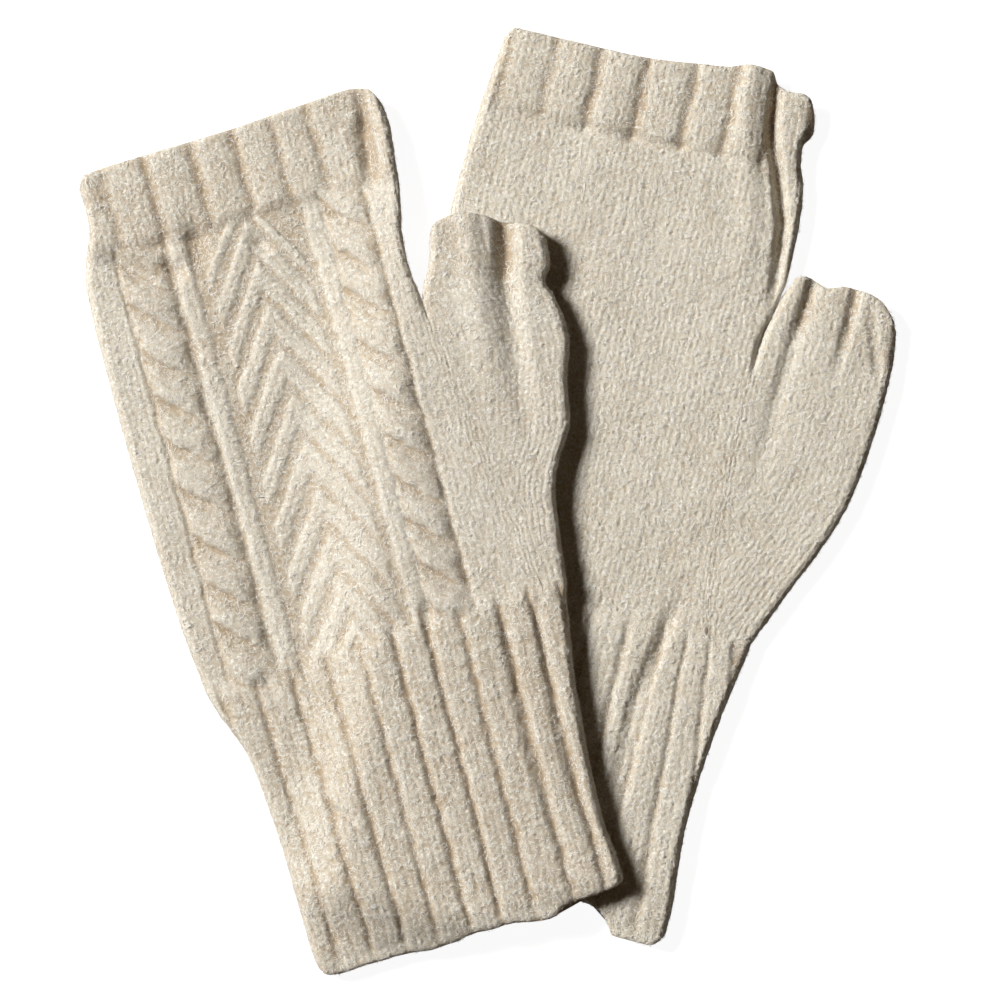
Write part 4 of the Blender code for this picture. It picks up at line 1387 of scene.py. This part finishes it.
@dataclass(frozen=True)
class Panel(Piece):
    """The back or the palm: one layer of cloth from the knuckle band to the wrist."""

    side: Side = Side.UPPER
    UNDER_CELLS = 3.2  # a layer underneath has cells so much wider
    UPPER_ROW = 0.98  # and one on top has rows so much closer than CELL

    def build(self) -> bpy.types.Object:
        """Builds the layer, its thumb side cut along the gusset.

        Returns:
            The new piece.
        """
        m = self.mitten
        upper = self.side is Side.UPPER
        cell = CELL if upper else self.UNDER_CELLS * CELL
        steps = whole_cells(m.wrist_seam - m.knuckle_seam, cell * (self.UPPER_ROW if upper else 1.0))
        downs = np.linspace(m.knuckle_seam, m.wrist_seam, steps + 1)
        tilt = m.tilt(downs)

        def at(across: Array) -> Array:
            """The course's place down, at places across."""
            return downs[:, None] + tilt[:, None] * across

        left, right = read(m.hand, downs, "left"), read(m.hand, downs, "right")
        for _ in range(4):
            end = downs + tilt * right
            right = np.where(end > m.crotch, read(m.gusset, end, "across"), right)
        turned = ease((m.crotch + TURN_FADE - downs - tilt * right) / TURN_FADE)
        whole = np.ones_like(downs)
        courses = Courses(left, right, whole, turned, at, NO_RIM * whole, 0 * whole)
        width = float(np.mean(right - left)) - 2 * SIDE_FOLD
        cells = whole_cells(width + 2 * FOLD_CELLS * cell, cell) - 2 * FOLD_CELLS + 1
        wall = Layer(m, self.side, cells).wall(courses, m.relief if upper else plain_knitting)
        return Shell(self.node, wall).build(0)


@dataclass(frozen=True)
class Thumb(Piece):
    """The thumb: its ribbed end, or the tube and gusset that it grows out of."""

    is_band: bool = False
    UPPER_CELLS = 1.08  # the cells on top and underneath, against CELL
    UNDER_CELLS = 3.5
    FINE_STEPS = 400  # for measuring along the thumb
    CROTCH_FADE = 10.0
    RIBS_FADE = 0.4  # how the band's ribs and stitches end, in shares of its length
    STITCHES_END = 0.97
    STITCHES_FADE = 0.08

    def _ends(self, share: Array) -> list[Array]:
        """The ends of the thumb's sections, column by column of its table."""
        m = self.mitten
        places = tuple(np.linspace(0.0, 1.0, len(m.thumb)))
        columns = zip(*m.thumb, strict=True)
        ends = [smooth(share, places, column) for column in columns]
        ends[0] = np.where(ends[1] > m.crotch - TINY, read(m.gusset, ends[1], "across"), ends[0])
        return ends

    def build(self) -> bpy.types.Object:
        """Builds the thumb's wall through its sections.

        Returns:
            The new piece.
        """
        m = self.mitten
        seam = 2 / (len(m.thumb) - 1)
        fine = np.linspace(0.0, 1.0, self.FINE_STEPS)
        left, left_down, right, right_down = self._ends(fine)
        middle_x, middle_y = (left + right) / 2, (left_down + right_down) / 2
        length = np.concatenate([[0.0], np.cumsum(np.hypot(np.diff(middle_x), np.diff(middle_y)))])
        first, last = (0.0, seam) if self.is_band else (seam, 1.0)
        start, end = np.interp((first, last), fine, length)
        steps = whole_cells(end - start)
        along = rim_spaced(start, end, steps, at_end=False if self.is_band else None)
        share = np.interp(along, length, fine)
        left, left_down, right, right_down = (e[:, None] for e in self._ends(share))
        edge = np.maximum(0.0, 1.0 - share / seam)[:, None]
        cut = m.wrist_seam

        def at(across: Array) -> Array:
            """The section's place down, at places across."""
            place = left_down + (right_down - left_down) * (across - left) / (right - left)
            place = place + edge * read(m.thumb_edge, across, "drop", "across")
            return np.minimum(place, cut + m.wrist_tilt * across)

        turned = ease((m.crotch + TURN_FADE - at(left)[:, 0]) / TURN_FADE)
        whole = np.ones_like(along)
        free = along if self.is_band else NO_RIM * whole
        courses = Courses(left[:, 0], right[:, 0], turned, whole, at, free, 0 * whole)
        course = (left_down + right_down) / 2 / COURSE
        in_band = np.clip(share / seam, 0, 1)[:, None]
        in_thumb = ease((m.crotch + self.CROTCH_FADE - left_down) / self.CROTCH_FADE)

        def knitting(across: Array, wide: Array, down: Array) -> Relief:
            """The thumb's own wales, which leave the hand's along the gusset.

            Args:
                across: place across the mitten, seen from above.
                wide: the same, but measured over the cloth.
                down: how far down the mitten.

            Returns:
                The relief.
            """
            own = np.maximum(ease((across - left) / THUMB_SPREAD), in_thumb)
            level = np.zeros(np.shape(across))
            rows = course + level
            hand = PLAIN.plain(wide / WALE, down / COURSE)
            stitch = hand * (1 - own) + PLAIN.plain((wide - right) / WALE, rows) * own
            plain = Relief(level, stitch * STITCH, level)
            if not self.is_band:
                return plain
            band = m.thumb_rib.relief(wide - right, rows, in_band + level)
            fade = ease((1.0 - in_band) / self.RIBS_FADE)
            sharp = ease((self.STITCHES_END - in_band) / self.STITCHES_FADE)
            stitch = band.stitch * sharp + plain.stitch * (1 - sharp)
            return Relief(band.form * fade, stitch, band.painted_shade * fade)

        width = float(np.max(right - left)) - 2 * SIDE_FOLD
        cells = width / (self.UPPER_CELLS * CELL), width / (self.UNDER_CELLS * CELL)
        joined_rows = (int(np.sum(turned > 1.0 - WHOLLY)) - 1) // COARSE * COARSE
        return self.tube(courses, cells, (knitting, knitting), joined_rows)


# --- loose fibres --------------------------------------------------------------------------------


Region = Callable[[Array, Array], Array]


@dataclass(frozen=True)
class Fuzz:
    """The loose fibres that stand on a mitten's knitting: thin curved ribbons of wool."""

    name: str
    seed: int
    count: int = 36000
    shortest: float = 0.6
    longest: float = 1.8
    width: float = 0.15
    lift: float = 0.4
    FINE_CELL = 2.0  # square millimetres: the cells of an outer surface are smaller than this
    FACE_VALUES = {"center": 3, "normal": 3, "area": 1}
    STEEPEST = -0.25  # fibres grow on faces that face up, sideways or a little down
    ROOT_HEIGHT = 0.6
    STREWN = 0.25
    TILT = 0.3
    CURL = 0.3
    TIP_CURL = 0.6
    LIFT_SHARES = 0.25, 1.0, 1.0  # of the lift, at root, middle and tip
    ROOTED = 0.1, 0.0, 0.1
    TAPER = (0.8, 1.0, 0.4)  # of the width, from end to end
    DARKEST = 0.45
    LOWEST = 0.1  # a fibre that dips below this height flattens out over the table
    FLATTEN = 0.4

    def build(self, pieces: list[bpy.types.Object], covered: Region) -> bpy.types.Object:
        """Makes the fibres.

        Args:
            pieces: the knitted pieces that they stand on.
            covered: True for places under something else, in millimetres of the frame.

        Returns:
            The new object, linked to the scene.
        """
        rng = np.random.default_rng(self.seed)
        root, normal = self._places(pieces, covered, rng)
        turn = rng.uniform(0.0, 2 * pi, self.count)
        tilt = rng.uniform(-self.TILT, self.TILT, self.count)
        random = np.column_stack([np.cos(turn), np.sin(turn), tilt])
        along = random - normal * np.sum(random * normal, axis=1, keepdims=True)
        along /= np.linalg.norm(along, axis=1, keepdims=True)
        aside = np.cross(normal, along)
        length = rng.uniform(self.shortest, self.longest, (self.count, 1))
        lifts = self.lift * rng.random((self.count, 3)) * self.LIFT_SHARES - self.ROOTED
        curl = rng.uniform(-self.CURL, self.CURL, (self.count, 1)) * length
        middle = root + normal * lifts[:, 1:2]
        start = root - along * length / 2 + normal * lifts[:, :1] + aside * curl
        end = root + along * length / 2 + normal * lifts[:, 2:] + aside * curl * self.TIP_CURL
        spine = np.stack([start, middle, end], axis=1)
        across = aside[:, None] * self.width / 2 * np.array(self.TAPER)[:, None]
        points = np.stack([spine - across, spine + across], axis=1).reshape(-1, 3)
        height = points[:, 2]
        flattened = self.LOWEST * np.exp(np.minimum(height - self.LOWEST, 0.0) / self.FLATTEN)
        points[:, 2] = np.where(height < self.LOWEST, flattened, height)
        return self._mesh(points, np.repeat(rng.uniform(self.DARKEST, 1.0, self.count), 6))

    def _places(
        self, pieces: list[bpy.types.Object], covered: Region, rng: np.random.Generator
    ) -> tuple[Array, Array]:
        """Strews places over the pieces' outsides.

        Args:
            pieces: the knitted pieces.
            covered: True for places under something else.
            rng: the fibres' random draws.

        Returns:
            The places, in millimetres, and their normals.
        """
        gathered: dict[str, list[Array]] = {name: [] for name in self.FACE_VALUES}
        for piece in pieces:
            faces = piece.data.polygons
            for name, width in self.FACE_VALUES.items():
                values = np.empty(len(faces) * width)
                faces.foreach_get(name, values)
                gathered[name].append(values.reshape(-1, width))
        centre, normal, area = (np.concatenate(gathered[name]) for name in self.FACE_VALUES)
        centre, area = centre / MM, area[:, 0] / MM**2
        seen = (area < self.FINE_CELL) & (normal[:, 2] > self.STEEPEST)
        seen &= centre[:, 2] > self.ROOT_HEIGHT
        seen &= ~covered(centre[:, 0], centre[:, 1])
        share = np.where(seen, area, 0.0)
        chosen = rng.choice(len(share), self.count, p=share / share.sum())
        strewn = rng.uniform(-self.STREWN, self.STREWN, (self.count, 3))
        return centre[chosen] + strewn, normal[chosen]

    def _mesh(self, points: Array, height: Array) -> bpy.types.Object:
        """One mesh of all the fibres: a long grid with every second strip taken out."""
        bm = bmesh.new()
        bmesh.ops.create_grid(bm, x_segments=2, y_segments=2 * self.count - 1, size=1.0)
        between = [face for k, face in enumerate(bm.faces) if (k // 2) % 2]
        bmesh.ops.delete(bm, geom=between, context="FACES")
        mesh = meshed(self.name, bm)
        mesh.vertices.foreach_set("co", (points * MM).ravel())
        mesh.attributes.new("height", "FLOAT", "POINT").data.foreach_set("value", height)
        mesh.shade_smooth()
        mesh.update()
        return linked(self.name, mesh)


WELL_INSIDE = 3.0


def under_front(x: Array, y: Array) -> Array:
    """True well inside the front mitten's outline, where the rear one has no loose fibres."""
    across, down = FRONT.locate(x, y)
    inside = across > read(FRONT.hand, down, "left") + WELL_INSIDE
    inside &= across < read(FRONT.hand, down, "right") - WELL_INSIDE
    return inside & (down > WELL_INSIDE) & (down < FRONT.hem - WELL_INSIDE)


def nowhere(x: Array, y: Array) -> Array:
    """False everywhere: nothing lies on the front mitten."""
    return np.zeros(len(x), bool)


# --- finishes ------------------------------------------------------------------------------------


Colour = tuple[float, float, float]
Inputs = dict[str | int, object]


class Wiring:
    """Adds nodes to one tree and links them."""

    def __init__(self, tree: bpy.types.NodeTree) -> None:
        """Keeps the tree."""
        self.tree = tree

    def add(self, kind: str, inputs: Inputs | None = None, **settings: object) -> bpy.types.Node:
        """Adds a node.

        Args:
            kind: the node's type, without its leading "ShaderNode".
            inputs: what goes into its sockets: another socket is linked, anything else is set.
            settings: the node's own properties.

        Returns:
            The new node.
        """
        node = self.tree.nodes.new(kind if kind.startswith("NodeGroup") else f"ShaderNode{kind}")
        for name, value in settings.items():
            setattr(node, name, value)
        self.feed(node, inputs or {})
        return node

    def feed(self, node: bpy.types.Node, inputs: Inputs) -> None:
        """Links or sets a node's inputs."""
        for name, value in inputs.items():
            if isinstance(value, bpy.types.NodeSocket):
                self.tree.links.new(value, node.inputs[name])
            else:
                node.inputs[name].default_value = value

    def moved(
        self, value: bpy.types.NodeSocket, before: tuple[float, float], after: tuple[float, float]
    ) -> bpy.types.NodeSocket:
        """A value moved from one range to another."""
        names = ("From Min", "From Max", "To Min", "To Max")
        ends = dict(zip(names, (*before, *after), strict=True))
        return self.add("MapRange", {"Value": value, **ends}).outputs["Result"]

    def toward(
        self, first: bpy.types.NodeSocket, second: Colour, share: bpy.types.NodeSocket
    ) -> bpy.types.NodeSocket:
        """A colour that moves from a linked one to a plain one as the share goes from 0 to 1."""
        return self.add("Mix", {0: share, 6: first, 7: (*second, 1.0)}, data_type="RGBA").outputs[2]


class FibreGroup:
    """Shader nodes that every wool shares: fine tangled fibres, their painted glints and the wool's
    patches.
    """

    NAME = "wool_fibres"
    SOCKETS = {
        "Fibre Scale": "INPUT",
        "Glint Scale": "INPUT",
        "Height": "OUTPUT",
        "Glints": "OUTPUT",
        "Patches": "OUTPUT",
    }
    # Detail, roughness and distortion of each noise, and the scale of the patches' one before them
    FIBRE_NOISE = 3.0, 0.65, 1.6
    GLINT_NOISE = 2.0, 0.6, 0.8
    PATCH_NOISE = 55.0, 2.0, 0.5, 0.0
    GLINTS_FROM = 0.52
    GLINTS_TO = 0.66

    @classmethod
    def get(cls) -> bpy.types.NodeTree:
        """Builds the group once, and hands out the same one after that."""
        return bpy.data.node_groups.get(cls.NAME) or cls._build()

    @classmethod
    def _build(cls) -> bpy.types.NodeTree:
        """Wires up the group.

        Returns:
            The group, whose outputs are values only.
        """
        group = bpy.data.node_groups.new(cls.NAME, "ShaderNodeTree")
        for name, way in cls.SOCKETS.items():
            group.interface.new_socket(name, in_out=way, socket_type="NodeSocketFloat")
        wiring = Wiring(group)
        scales = wiring.add("NodeGroupInput").outputs
        place = wiring.add("TexCoord").outputs["Object"]

        def noise(*values: float | bpy.types.NodeSocket) -> bpy.types.NodeSocket:
            """A noise of object coordinates, from its scale, detail, roughness and distortion."""
            names = ("Scale", "Detail", "Roughness", "Distortion")
            inputs = {"Vector": place, **dict(zip(names, values, strict=True))}
            return wiring.add("TexNoise", inputs).outputs[0]

        glints = {"From Min": cls.GLINTS_FROM, "From Max": cls.GLINTS_TO}
        glints["Value"] = noise(scales["Glint Scale"], *cls.GLINT_NOISE)
        bright = wiring.add("MapRange", glints, interpolation_type="SMOOTHSTEP")
        height = noise(scales["Fibre Scale"], *cls.FIBRE_NOISE)
        patches = noise(*cls.PATCH_NOISE)
        results = {"Height": height, "Glints": bright.outputs["Result"], "Patches": patches}
        wiring.add("NodeGroupOutput", results)
        return group


@dataclass(frozen=True)
class Wool:
    """Brushed wool: warm and darker between the stitches as painted shade, pale with painted glints on
    crests.
    """

    name: str
    # groove is the painted shade's colour, crest the painted highlight's, body lies between them
    groove: Colour = (0.48, 0.37, 0.245)
    body: Colour = (0.64, 0.558, 0.426)
    crest: Colour = (0.75, 0.691, 0.571)
    painted_glint: Colour = (0.96, 0.94, 0.87)
    fibre_scale: float = 2400.0
    glint_scale: float = 1500.0
    bump: float = 0.8
    bump_depth: float = 0.0005
    sheen: float = 0.25
    FIBRES = (0.3, 0.7)  # where nearly all of the fibres' noise lies
    TANGLE = 0.32  # how far fibres shift the colour up or down the ramp
    BODY_AT = 0.34  # places on the ramp
    CREST_AT = 0.7
    PATCHES = (0.45, 0.8)  # the patches' noise, from unworn to darkest
    DARKER_PATCHES = 0.3
    CREST_FROM = 0.5  # the painted shading from which painted glints are densest
    GLINT_STRENGTH = (0.2, 0.9)  # the painted glints' strength in grooves and on crests
    ROUGHNESS = (0.78, 0.97)
    SHEEN_ROUGHNESS = 0.6
    SPECULAR = 0.2

    def build(self) -> bpy.types.Material:
        """Builds the material.

        Returns:
            The new material.
        """
        material = bpy.data.materials.new(self.name)
        material.use_nodes = True
        wiring = Wiring(material.node_tree)
        scales = {"Fibre Scale": self.fibre_scale, "Glint Scale": self.glint_scale}
        fibres = wiring.add("Group", scales, node_tree=FibreGroup.get()).outputs
        # the pieces' painted shading; on the loose fibres a random tone
        height = wiring.add("Attribute", attribute_name="height").outputs["Fac"]
        tangle = wiring.moved(fibres["Height"], self.FIBRES, (-self.TANGLE, self.TANGLE))
        tangled = wiring.add("Math", {0: height, 1: tangle}, operation="ADD")
        ramp = wiring.add("ValToRGB", {"Fac": tangled.outputs["Value"]})
        ramp.color_ramp.interpolation = "EASE"
        stops = ramp.color_ramp.elements
        stops[0].position, stops[0].color = 0.0, (*self.groove, 1.0)
        stops[1].position, stops[1].color = self.CREST_AT, (*self.crest, 1.0)
        stops.new(self.BODY_AT).color = (*self.body, 1.0)
        weak = wiring.moved(fibres["Patches"], self.PATCHES, (0.0, self.DARKER_PATCHES))
        patched = wiring.toward(ramp.outputs["Color"], self.groove, weak)
        # painted glints, strongest on the crests
        on_crests = wiring.moved(height, (0.0, self.CREST_FROM), self.GLINT_STRENGTH)
        both = {0: fibres["Glints"], 1: on_crests}
        share = wiring.add("Math", both, operation="MULTIPLY", use_clamp=True)
        bump = {"Strength": self.bump, "Distance": self.bump_depth, "Height": fibres["Height"]}
        finish = {
            "Base Color": wiring.toward(patched, self.painted_glint, share.outputs["Value"]),
            "Roughness": wiring.moved(fibres["Height"], self.FIBRES, self.ROUGHNESS),
            "Normal": wiring.add("Bump", bump).outputs["Normal"],
            "Sheen Weight": self.sheen,
            "Sheen Roughness": self.SHEEN_ROUGHNESS,
            "Sheen Tint": (*self.painted_glint, 1.0),
            "Specular IOR Level": self.SPECULAR,
        }
        wiring.feed(material.node_tree.nodes["Principled BSDF"], finish)
        return material


# --- floor, light and camera ---------------------------------------------------------------------


@dataclass(frozen=True)
class Studio:
    """A pale floor, a key light from the upper left, a soft sky, and a camera straight above."""

    view_width: float = 0.270
    centre: tuple[float, float] = (0.00343, 0.00015)
    height: float = 2.0
    key_from: tuple[float, float, float] = (-2.0, 1.0, 1.86)
    key_size: float = 0.8
    key_power: float = 143.0
    sky: float = 0.035
    floor_glow: float = 0.94
    FLOOR_HALF = 3.0
    FLOOR_GAP = 0.0002  # how far the floor lies below the wool
    FLOOR_GREY = (0.3, 0.3, 0.3)
    FLOOR_ROUGHNESS = 0.9
    FLOOR_SPECULAR = 0.1
    FLOOR_BOUNCE = (0.45, 0.43, 0.40)  # the floor's colour as the mittens see it
    KEY_COLOUR = (1.0, 0.99, 0.975)
    SKY_COLOUR = (1.0, 0.68, 0.42)
    SENSOR = 36.0
    CLIP = (0.1, 10.0)

    def build(self) -> None:
        """Makes all of it."""
        self._floor()
        self._light()
        self._camera()

    def _floor(self) -> None:
        """A plain pale floor, bright to the camera and dull to the mittens."""
        bm = bmesh.new()
        bmesh.ops.create_grid(bm, x_segments=1, y_segments=1, size=self.FLOOR_HALF)
        bmesh.ops.translate(bm, verts=bm.verts, vec=(0.0, 0.0, -self.FLOOR_GAP))
        mesh = meshed("floor", bm)
        floor = linked("floor", mesh)
        paint = bpy.data.materials.new("pale_floor")
        paint.use_nodes = True
        wiring, shader = Wiring(paint.node_tree), paint.node_tree.nodes["Principled BSDF"]
        glowing = {
            "Base Color": (*self.FLOOR_GREY, 1.0),
            "Roughness": self.FLOOR_ROUGHNESS,
            "Specular IOR Level": self.FLOOR_SPECULAR,
            "Emission Color": (1.0, 1.0, 1.0, 1.0),
            "Emission Strength": self.floor_glow,
        }
        wiring.feed(shader, glowing)
        dull = wiring.add("BsdfDiffuse", {"Color": (*self.FLOOR_BOUNCE, 1.0)}).outputs["BSDF"]
        seen = wiring.add("LightPath").outputs["Is Camera Ray"]
        mix = wiring.add("MixShader", {"Fac": seen, 1: dull, 2: shader.outputs["BSDF"]})
        out = paint.node_tree.nodes["Material Output"]
        wiring.feed(out, {"Surface": mix.outputs["Shader"]})
        mesh.materials.append(paint)

    def _light(self) -> None:
        """The key light and the sky."""
        key = bpy.data.lights.new("key", "AREA")
        key.size = self.key_size
        key.energy = self.key_power
        key.color = self.KEY_COLOUR
        lamp = linked("key", key)
        lamp.location = self.key_from
        lamp.rotation_mode = "QUATERNION"
        lamp.rotation_quaternion = (-Vector(self.key_from)).to_track_quat("-Z", "Y")
        world = bpy.data.worlds.new("sky")
        world.use_nodes = True
        sky = {"Color": (*self.SKY_COLOUR, 1.0), "Strength": self.sky}
        Wiring(world.node_tree).feed(world.node_tree.nodes["Background"], sky)
        bpy.context.scene.world = world
        bpy.context.scene.view_settings.view_transform = "Standard"

    def _camera(self) -> None:
        """A long lens that looks straight down."""
        lens = bpy.data.cameras.new("camera")
        lens.sensor_width = self.SENSOR
        lens.lens = lens.sensor_width * self.height / self.view_width
        lens.clip_start, lens.clip_end = self.CLIP
        camera = linked("camera", lens)
        camera.location = (*self.centre, self.height)
        bpy.context.scene.camera = camera


# --- the pair ------------------------------------------------------------------------------------


# Groove, body and crest of the loose fibres, and of the front mitten, a shade darker than the rear one
PALE = (0.72, 0.67, 0.58), (0.86, 0.83, 0.76), (0.98, 0.97, 0.93)
FRONT_DARKER = (0.46, 0.352, 0.232), (0.608, 0.53, 0.41), (0.715, 0.66, 0.553)


@dataclass(frozen=True)
class MittenBuilder:
    """Builds and dresses the six pieces of one mitten."""

    mitten: Mitten
    pieces: tuple[Piece, ...]
    wool: Wool
    fuzz: Fuzz
    fuzz_wool: Wool
    covered: Region = nowhere
    rests_on: tuple[str, ...] = ("floor",)

    def build(self) -> None:
        """Makes the pieces in order, then the fibres that stand on them."""
        wool, made = self.wool.build(), []
        for piece in self.pieces:
            made.append(piece.build())
            piece.dress(made[-1], wool, list(self.rests_on))
        fibres = self.fuzz.build(made, self.covered)
        fibres.data.materials.append(self.fuzz_wool.build())
        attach(fibres, "root")
        log.info("%s: %d faces", fibres.name, len(fibres.data.polygons))


def pieces_of(mitten: Mitten) -> tuple[Piece, ...]:
    """The six pieces of a mitten, each with the flat size that it was knitted to."""
    upper, lower = ("back_panel", "palm_panel") if mitten.cables else ("palm_panel", "back_panel")
    return (
        Band(mitten, "knuckle_rib", (0.172, 0.024)),
        Panel(mitten, upper, (0.090, 0.125), side=Side.UPPER),
        Panel(mitten, lower, (0.090, 0.125), side=Side.LOWER),
        Thumb(mitten, "thumb", (0.058, 0.085)),
        Thumb(mitten, "thumb_rib", (0.068, 0.019), is_band=True),
        Band(mitten, "wrist_rib", (0.175, 0.083), at_wrist=True),
    )


def main() -> None:
    """Builds the studio and both mittens."""
    logging.basicConfig(level=logging.INFO, format="%(name)s: %(message)s")
    Studio().build()
    rear = pieces_of(REAR)
    MittenBuilder(
        REAR, rear, Wool("rear_wool"), Fuzz("rear_fuzz", 21), Wool("rear_fibres", *PALE), under_front
    ).build()
    below = ("floor", *(f"{piece.node}_knit" for piece in rear))
    MittenBuilder(
        FRONT,
        pieces_of(FRONT),
        Wool("front_wool", *FRONT_DARKER),
        Fuzz("front_fuzz", 22),
        Wool("front_fibres", *PALE),
        rests_on=below,
    ).build()


if __name__ == "__main__":
    main()
